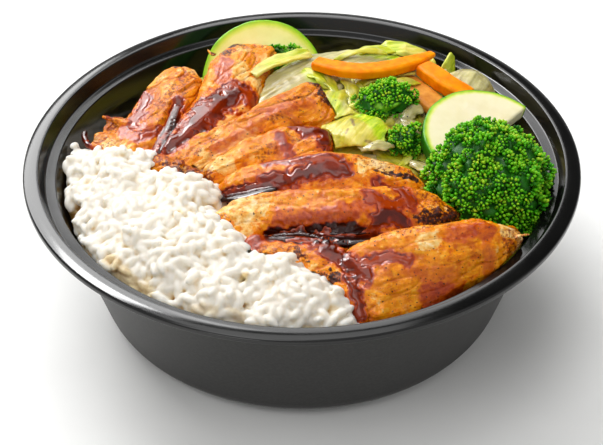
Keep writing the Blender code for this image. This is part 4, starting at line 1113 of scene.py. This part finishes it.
def makeBroccoli(node, number):
    # the imported head as a core painted dark as shade between the buds, with tufts of buds standing out all
    # over it
    s = broccoliShape[node]
    rng = random.Random(number)
    crown = nodeCopy([node], node.replace("broccoli", "broccoli_stalk"))
    remeshed(crown, 0.8, 6)
    p, n = surfaceOf(crown)
    lean = np.array(s["lean"])
    out = p - np.array(s["centre"])
    outward = out / np.linalg.norm(out, axis=1)[:, None]
    bare = strokes(p, s["bare"], 0.2, number)
    free = (outward @ lean > s["skirt"]) & (np.sum(outward * n, axis=1) > -0.1)
    lobes = 1.3 * noiseAt(p, 8.0, number + 11) * free
    p = p + n * (lobes - np.where(free, 1.7 - 0.9 * bare, 0.1))[:, None]
    movePoints(crown, p)
    # painted shade on the core, except the stalk below the buds and the bare strokes, which are pale green
    below = 1 - stepUp(s["skirt"] - 0.15, s["skirt"] + 0.15, outward @ lean)
    paint(crown, stalk=np.maximum(below, bare))
    order = list(np.nonzero(free & (bare < 0.4))[0])
    rng.shuffle(order)
    placed = []
    for i in spreadOut(p, order, s["spacing"]):
        axis = (Vector(n[i]) + Vector([rng.gauss(0, 0.22) for _ in range(3)])).normalized()
        size = rng.uniform(0.85, 1.15)
        root = Vector(p[i]) + Vector(n[i]) * rng.uniform(-0.5, 0.9)
        side = axis.orthogonal().normalized()
        other = axis.cross(side)
        warmth = rng.uniform(-0.25, 0.25)
        for k in range(s["count"]):
            # buds wound over the tuft from its top down, the lower ones deeper and painted darker as painted
            # shade
            slope = math.acos(1 - (k + 0.5) / s["count"] * 1.05)
            wind = k * 2.4 + rng.uniform(-0.35, 0.35)
            way = axis * math.cos(slope) + (side * math.cos(wind) + other * math.sin(wind)) * math.sin(slope)
            place = root + way * s["tuft"] * size * rng.uniform(0.85, 1.15)
            bud = s["bud"] * size * rng.uniform(0.8, 1.15)
            # painted shade: light falls with the slope down the tuft, and goes into the buds' depth attribute
            light = s["light"] - 0.5 * slope ** 1.6 + rng.uniform(-0.12, 0.12)
            matrix = standing(place, way + axis * 0.4, rng.uniform(0, math.tau), bud)
            placed.append((0, matrix, min(max(rng.random() + warmth, 0), 1), min(max(light, 0.05), 1.0)))
    smoothShade(crown)
    return crown, scattered(node + "_buds", [budForm()], placed)


budGreen, stalkGreen = broccoliBuds(), broccoliStem()
for number, node in enumerate(broccoliShape):
    stalk, buds = makeBroccoli(node, number)
    finishPiece(stalk, [node], stalkGreen)
    finishPiece(buds, [], budGreen)
    print(node + ":", len(buds.data.polygons), "bud faces")


# Zucchini: half slices, cut from a thick disc

zucchiniShape = {
    "zucchini_front": {
        "centre": (62, 3, 58), "facing": (0.148, -0.21, 0.966), "chord": (15.6, 17.3, 1.4),
        "radius": 22.3, "thickness": 5.0, "rim": (
            (0.0, "#1e5a08"), (0.11, "#2f7d0a"), (0.15, "#6cac14"), (0.2, "#aed22c"), (0.27, "#e2e688"),
            (0.35, "#f0e8c2"), (1.0, "#eee4c0"))},
    "zucchini_back": {
        "centre": (-14, 57.5, 47.5), "facing": (0, -0.71, 0.71), "chord": (1, 0, 0),
        "radius": 22.3, "thickness": 6.0, "rim": (
            (0.0, "#2c7a06"), (0.1, "#68b008"), (0.17, "#a4d010"), (0.28, "#dfea4e"), (0.42, "#faf296"),
            (1.0, "#fff5aa"))},
}


def makeZucchini(node):
    s = zucchiniShape[node]
    facing = Vector(s["facing"]).normalized()
    chord = Vector(s["chord"])
    chord = (chord - facing * chord.dot(facing)).normalized()
    turn = Matrix((chord, facing.cross(chord).normalized(), facing)).transposed()
    half = primitive("cylinder", vertices=120, radius=s["radius"] * mm, depth=s["thickness"] * mm,
                     end_fill_type="TRIFAN")
    half.name = node.replace("zucchini", "zucchini_slice")
    startEdit()
    bpy.ops.mesh.bisect(plane_co=(0, 0, 0), plane_no=(0, 1, 0), use_fill=True, clear_inner=True)
    endEdit()
    applyModifier(half, "BEVEL", width=0.5 * mm, segments=3, limit_method="ANGLE",
                  angle_limit=math.radians(50))
    remeshed(half, 0.45, 2)
    p, n = surfaceOf(half)
    reach = np.linalg.norm(p[:, :2], axis=1)
    below = np.clip(s["thickness"] / 2 - 0.4 - p[:, 2], 0, None) * (reach > s["radius"] - 1)
    paint(half, rim=np.clip(0.1 + (s["radius"] - reach - 0.5 * below) / 10.0, 0, 1))
    p += n * (0.22 * noiseAt(p, 7, 3) + 0.06 * noiseAt(p, 1.8, 4))[:, None]
    movePoints(half, p @ np.array(turn).T + np.array(s["centre"]))
    smoothShade(half)
    return half


for node in zucchiniShape:
    finishPiece(makeZucchini(node), [node], sliceOfZucchini(zucchiniShape[node]["rim"]))
print("zucchini done")


# Carrots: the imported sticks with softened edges

carrotShape = {
    "voxel": 0.35, "smoothing": 2, "lump": 0.12, "grain": 0.05,
    "colours": {  # lighter and deeper orange
        "carrot_long": ("#ff9a00", "#f07a00"), "carrot_short": ("#ff9400", "#e87200"),
        "carrot_pale": ("#d8923a", "#be701e")},
}
for node, (light, deep) in carrotShape["colours"].items():
    stick = nodeCopy([node], node + "_stick")
    remeshed(stick, carrotShape["voxel"], carrotShape["smoothing"])
    p, n = surfaceOf(stick)
    relief = carrotShape["lump"] * noiseAt(p, 3.5, 2) + carrotShape["grain"] * noiseAt(p, 1.2, 5)
    movePoints(stick, p + n * relief[:, None])
    smoothShade(stick)
    finishPiece(stick, [node], cutCarrot(node.replace("_", " "), light, deep))
print("carrots done")


# Cabbage and onion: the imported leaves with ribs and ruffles, and loose shreds over the bed

leafShape = {
    "voxel": 0.4, "smoothing": 3, "relief": 0.25, "bedVoxel": 0.9, "bedSmoothing": 4, "bedRelief": 0.6,
    "veins": {  # which way they run, in degrees from +X
        "cabbage_strip": 30, "cabbage_shred": 20, "cabbage_leaf_low": 60, "cabbage_leaf_middle": 75,
        "cabbage_leaf_back": 15, "cabbage_leaf_tip": 80, "onion_band": 38, "onion_grey": 65},
    "bedVeins": 40,
}
limeStrokes = [
    (3.5, 0.8, [(3.1, 42), (5.8, 37.8), (8.6, 36.5)]),
    (3.6, 1.0, [(21.3, 16.6), (23.2, 13.8), (25.1, 10.3), (26.4, 7.5), (27.6, 5.1)]),
    (4.5, 0.9, [(22, 58), (27, 57), (33, 57)]),
    (3.5, 0.7, [(31.6, 61.5), (36, 65.5), (41, 64.5)]),
    (3.0, 0.7, [(54.7, 58), (53.5, 54)]),
    (2.6, 0.6, [(12.0, 31), (10.6, 24.6), (12.5, 19)]),
    (2.4, 0.6, [(-12, 44.5), (-5.5, 50.5), (0, 53)]),
]
brownStrokes = [
    (3.4, 0.35, [(-14, 29.5), (-11, 34), (-8, 37), (-3, 38)]),
    (0.7, 0.9, [(21.5, 1.5), (24.5, 1.2), (28, 1.5)]),
    (0.6, 0.9, [(17.1, 12.0), (17.6, 8.2)]),
    (0.5, 0.9, [(15.6, 6.8), (14.9, 4.6)]),
    (0.7, 0.8, [(29.6, 12), (30.5, 15)]),
    (1.4, 0.4, [(55, 44), (58, 49), (63, 50)]),
    (1.2, 0.5, [(62, 36.5), (66.5, 38.5), (68, 43)]),
]
cabbageStops = ((0.12, "#7c8006"), (0.34, "#aca614"), (0.56, "#cec038"), (0.85, "#eade84"))
onionStops = ((0.12, "#8a8046"), (0.34, "#aaa064"), (0.58, "#c6be84"), (0.85, "#e4deae"))
cabbageGreen = cookedLeaf("stir-fried cabbage", cabbageStops, 0.35, 0.15)
onionClear = cookedLeaf("stir-fried onion", onionStops, 0.2, 0.3)


def dressLeaf(piece, angle, number, relief):
    p, n = surfaceOf(piece)
    way = alongFibres(p, angle)
    ribs = noiseAt(way, (18, 2.4, 6), number)
    movePoints(piece, p + n * (relief * ribs + 0.6 * relief * noiseAt(p, 3.0, number + 3))[:, None])
    paint(piece, veinWay=way * (0.1, 1.0, 1.0), rib=np.clip(ribs * 0.5 + 0.5, 0, 1),
          tone=0.22 + 0.35 * noiseAt(p, 10, number + 5), lime=strokes(p, limeStrokes, 0.5, number),
          brown=strokes(p, brownStrokes, 0.5, number + 2))
    smoothShade(piece)


for number, (node, angle) in enumerate(leafShape["veins"].items()):
    piece = nodeCopy([node], node + "_piece")
    remeshed(piece, leafShape["voxel"], leafShape["smoothing"])
    dressLeaf(piece, angle, number, leafShape["relief"])
    onion = node.startswith("onion")
    finishPiece(piece, [node], onionClear if onion else cabbageGreen)

bed = nodeCopy(["cabbage"], "cabbage_bed")
remeshed(bed, leafShape["bedVoxel"], leafShape["bedSmoothing"])
dressLeaf(bed, leafShape["bedVeins"], 30, leafShape["bedRelief"])
finishPiece(bed, ["cabbage"], cabbageGreen)

shredShape = {
    # the drawn ones
    "thickness": 0.6, "ruffle": 0.25, "tone": 0.2,
    # the loose ones: where they lie, in x and y and from the middle, and their half lengths and forms
    "count": 70, "seed": 5, "onionShare": 0.3, "field": ((-20, 76), (-4, 76)), "reach": 74, "tipReach": 76,
    "halfLengths": (6, 12), "widths": (2.2, 5), "thicknesses": (0.45, 0.8), "ruffles": (0.2, 0.6),
    "curls": (0, 0.8), "limes": (0, 0, 0.3, 0.9), "browns": (0, 0, 0.3), "tones": (-0.05, 0.45),
}
shredLines = [
    # kind, width, cupping, lime, brown, line
    ("cabbage", 5.5, 0.5, 1.0, 0.0,
     [(1.5, 45.5, 60.5), (4.5, 41, 61.6), (7.5, 37.2, 61.4), (9.2, 33.5, 59.4)]),
    ("cabbage", 4.0, 0.4, 0.6, 0.35, [(6.5, 42, 60.9), (9, 37.5, 61.2), (11.5, 32, 60.4), (12, 27, 59)]),
    ("cabbage", 4.5, 0.5, 0.2, 0.0, [(14, 41, 60), (16.5, 35, 61), (17.8, 30, 60.6), (17, 24, 59)]),
    ("cabbage", 3.6, 0.4, 0.6, 0.0, [(19, 41, 60), (20, 36, 60.6), (19.6, 31, 60), (18.6, 27, 59)]),
    ("cabbage", 5.0, 0.7, 0.1, 0.0, [(24, 30, 62), (30, 32, 63.4), (36, 33.5, 63.2), (41, 33, 62)]),
    ("onion", 6.5, 1.2, 0.0, 0.0, [(33, 14.5, 57.6), (35.5, 18, 59.4), (39, 21.5, 60.2), (42, 24, 59.6)]),
    ("onion", 5.0, 0.8, 0.0, 0.3, [(31, 21, 58), (36, 15, 58.6), (40, 11, 58.2), (43, 8, 57)]),
    ("onion", 5.5, 0.9, 0.0, 0.15, [(19, -0.5, 58.3), (23, 0.2, 59.4), (27, 1.2, 59.2), (30.5, 2.6, 58)]),
    ("onion", 5.0, 0.7, 0.0, 0.2, [(36, -3.5, 55), (39.5, -7, 56), (42.5, -11, 57), (45, -15, 57)]),
    ("cabbage", 5.0, 0.8, 0.9, 0.0, [(19, 56, 60.4), (24, 58, 61.2), (29, 58.2, 61), (34, 57, 60)]),
    ("cabbage", 3.4, 0.5, 0.5, 0.0, [(12, 49.5, 61.5), (18, 53, 62.6), (25, 54.4, 62.8), (31, 53.4, 61.8)]),
    ("cabbage", 3.4, 0.5, 0.1, 0.0, [(30, 42, 61), (36, 44, 62), (42, 47, 61.6), (47, 50, 60)]),
    ("onion", 4.2, 0.7, 0.0, 0.1, [(45, 31, 60.6), (48, 36, 60.8), (50, 42, 60), (51, 48, 58.4)]),
    ("cabbage", 5.0, 0.5, 0.3, 0.0, [(-50, 55, 44.6), (-43, 59, 45.4), (-36, 62, 45.4), (-30, 64, 44.6)]),
    ("cabbage", 4.5, 0.4, 0.0, 0.0, [(-58, 43, 44.6), (-54, 49, 45.4), (-47, 53, 45.4), (-41, 55, 44.6)]),
    ("onion", 4.6, 0.6, 0.0, 0.1, [(-57, 37, 44.8), (-53, 43, 45.5), (-48, 48, 45.5), (-44, 51, 44.8)]),
]


def leafSheet(line, width, thickness, ruffle, seed, curl, lime, brown, tone):
    # a strip of leaf along a line in mm: a grid laid along it, ruffled, thickened and rounded
    rng = random.Random(seed)
    strip = primitive("grid", x_subdivisions=20, y_subdivisions=6, size=2 * mm)
    p = pointsOf(strip)
    q = np.empty_like(p)
    phase = rng.uniform(0, math.tau)
    skew = rng.uniform(-0.6, 0.6)
    for i, (u, v, _) in enumerate(p):
        share = (u + 1) / 2
        here = curvePoint(line, share)
        ahead = (curvePoint(line, min(share + 0.02, 1)) - curvePoint(line, max(share - 0.02, 0))).normalized()
        side = ahead.cross(Vector((0, 0, 1))).normalized()
        up = side.cross(ahead)
        taper = math.sqrt(max(math.sin(math.pi * (0.06 + 0.88 * share)), 0.05))
        ragged = 1 + 0.18 * math.sin(share * 17 + phase) * abs(v)
        wave = ruffle * math.sin(phase + share * 9 + v * 2.2)
        here = here + ahead * skew * v * width / 2
        q[i] = here + side * v * width / 2 * taper * ragged + up * (wave - curl * v * v)
    movePoints(strip, q)
    applyModifier(strip, "SOLIDIFY", thickness=thickness * mm, offset=0.0)
    applyModifier(strip, "SUBSURF", levels=1, render_levels=1)
    run = Vector(line[-1]) - Vector(line[0])
    p = pointsOf(strip)
    way = alongFibres(p, math.degrees(math.atan2(run.y, run.x)))
    paint(strip, veinWay=way * (0.1, 1.0, 1.0), rib=np.clip(0.5 + 0.5 * noiseAt(p, 3, seed), 0, 1),
          tone=[tone] * len(p), lime=lime * (0.6 + 0.4 * noiseAt(p, 5, seed + 1)),
          brown=brown * (0.6 + 0.6 * noiseAt(p, 4, seed + 2)))
    return strip


def makeShreds():
    s = shredShape
    rng = random.Random(s["seed"])
    tree = treeOf(frame["nodes"]["cabbage"])
    strips = {"cabbage": [], "onion": []}
    for number, (kind, width, curl, lime, brown, line) in enumerate(shredLines):
        seed = number + 200
        strip = leafSheet(line, width, s["thickness"], s["ruffle"], seed, curl, lime, brown, s["tone"])
        strips[kind].append(strip)
    made = 0
    while made < s["count"]:
        x, y = [rng.uniform(*ends) for ends in s["field"]]
        if x + y < 4 or math.hypot(x, y) > s["reach"]:
            continue
        turn = rng.uniform(0, math.pi)
        long = rng.uniform(*s["halfLengths"])
        line = []
        for k in (-1, -0.4, 0.3, 1):
            a = turn + rng.uniform(-0.25, 0.25)
            px, py = x + k * long * math.cos(a), y + k * long * math.sin(a)
            hit = dropped(tree, px, py)[0]
            if math.hypot(px, py) > s["tipReach"] or hit is None:
                break
            line.append((px, py, hit.z + rng.uniform(0.2, 1.4)))
        if len(line) < 4:
            continue
        kind = "onion" if rng.random() < s["onionShare"] else "cabbage"
        lime = rng.choice(s["limes"]) if kind == "cabbage" else 0
        width, thickness, ruffle, curl = [
            rng.uniform(*s[key]) for key in ("widths", "thicknesses", "ruffles", "curls")]
        brown, tone = rng.choice(s["browns"]), rng.uniform(*s["tones"])
        strips[kind].append(leafSheet(line, width, thickness, ruffle, made, curl, lime, brown, tone))
        made += 1
    for kind, parts in strips.items():
        strips[kind] = joinUp(*parts)
        strips[kind].name = kind + "_shreds"
        smoothShade(strips[kind])
    return strips


shreds = makeShreds()
finishPiece(shreds["cabbage"], [], cabbageGreen)
finishPiece(shreds["onion"], [], onionClear)
print("shreds:", sum(len(piece.data.polygons) for piece in shreds.values()), "faces")


# Studio: a pale floor, a bright window-like softbox behind, soft light from the left and above

studio = {
    "lowLight": 0.6, "highLight": 0.05,  # of the room, in front and low down, and high up behind
    # place, size and watts; a box that is only mirrored adds highlights but no light
    "boxes": {
        "backBox": ((-0.56, 0.86, 0.88), (0.84, 0.86), 17.0),
        "middleBox": ((0.02, 0.96, 0.85), (0.36, 0.8), 2.9),
        "keyBox": ((-0.4, -0.6, 1.3), (0.8, 0.8), 4.6),
        "topBox": ((-0.05, 0.2, 1.4), (0.9, 0.75), 4.4),
        "windowBox": ((-0.5, 0.5, 0.95), (0.42, 0.28), 8.5),
        "frontBox": ((-0.52, -1.15, 0.12), (0.45, 0.25), 1.2)},
    "mirrored": ("windowBox", "frontBox"),
    # the photograph's side: its frame is 603 wide, and the focal length is in the same steps
    "place": (0, -0.40628, 0.34844), "forward": (-0.0003, 0.7837, -0.6211), "up": (0.0033, 0.6211, 0.7837),
    "focal": 1494.8, "frameWidth": 603, "sensor": 36,
}


def softbox(name, place, size, watts):
    light = bpy.data.lights.new(name, "AREA")
    light.shape = "RECTANGLE"
    light.size, light.size_y = size
    light.energy = watts
    lamp = newObject(name, light)
    lamp.visible_diffuse = name not in studio["mirrored"]
    lamp.location = place
    lamp.rotation_euler = (Vector((0, 0, 0.05)) - lamp.location).to_track_quat("-Z", "Y").to_euler()


floor = primitive("plane", size=6)
floor.name = "studio_floor"
paper, shader, add, place, _ = newMaterial("pale studio paper", {"Roughness": 0.9})
grain = add("TexNoise", {"Scale": 40, "Vector": place})  # 25 mm clouds
tone = add("ValToRGB", {"Fac": grain, "stops": ((0.2, "#f1f1ef"), (0.8, "#f5f5f3"))})
setNode(shader, {"Base Color": tone})
floor.data.materials.append(paper)

world = bpy.data.worlds.new("studio")
world.use_nodes = True
# a dark studio behind and above, pale in front and all round lower down
sky = addNode(world, "SeparateXYZ", {"Vector": addNode(world, "TexCoord", {}).outputs["Generated"]})
backward, upward = [
    addNode(world, "MapRange", {"From Min": low, "From Max": high, "Value": sky.outputs[axis]})
    for low, high, axis in ((-0.1, 0.3, "Y"), (0.12, 0.35, "Z"))]
share = addNode(world, "Math", {"operation": "MULTIPLY", 0: backward, 1: upward})
fade = addNode(world, "MapRange", {
    "To Min": studio["lowLight"], "To Max": studio["highLight"], "Value": share})
setNode(world.node_tree.nodes["Background"], {"Color": "#ffffff", "Strength": fade})
bpy.context.scene.world = world
for name, settings in studio["boxes"].items():
    softbox(name, *settings)

camera = newObject("camera", bpy.data.cameras.new("camera"))
camera.data.sensor_width = studio["sensor"]
camera.data.lens = studio["focal"] / studio["frameWidth"] * studio["sensor"]
camera.data.clip_start = 0.01
forward = Vector(studio["forward"]).normalized()
right = forward.cross(Vector(studio["up"])).normalized()
turn = Matrix((right, right.cross(forward), -forward)).transposed().to_4x4()
camera.matrix_world = Matrix.Translation(studio["place"]) @ turn
bpy.context.scene.camera = camera
bpy.context.scene.view_settings.view_transform = "Standard"
print("studio ready")
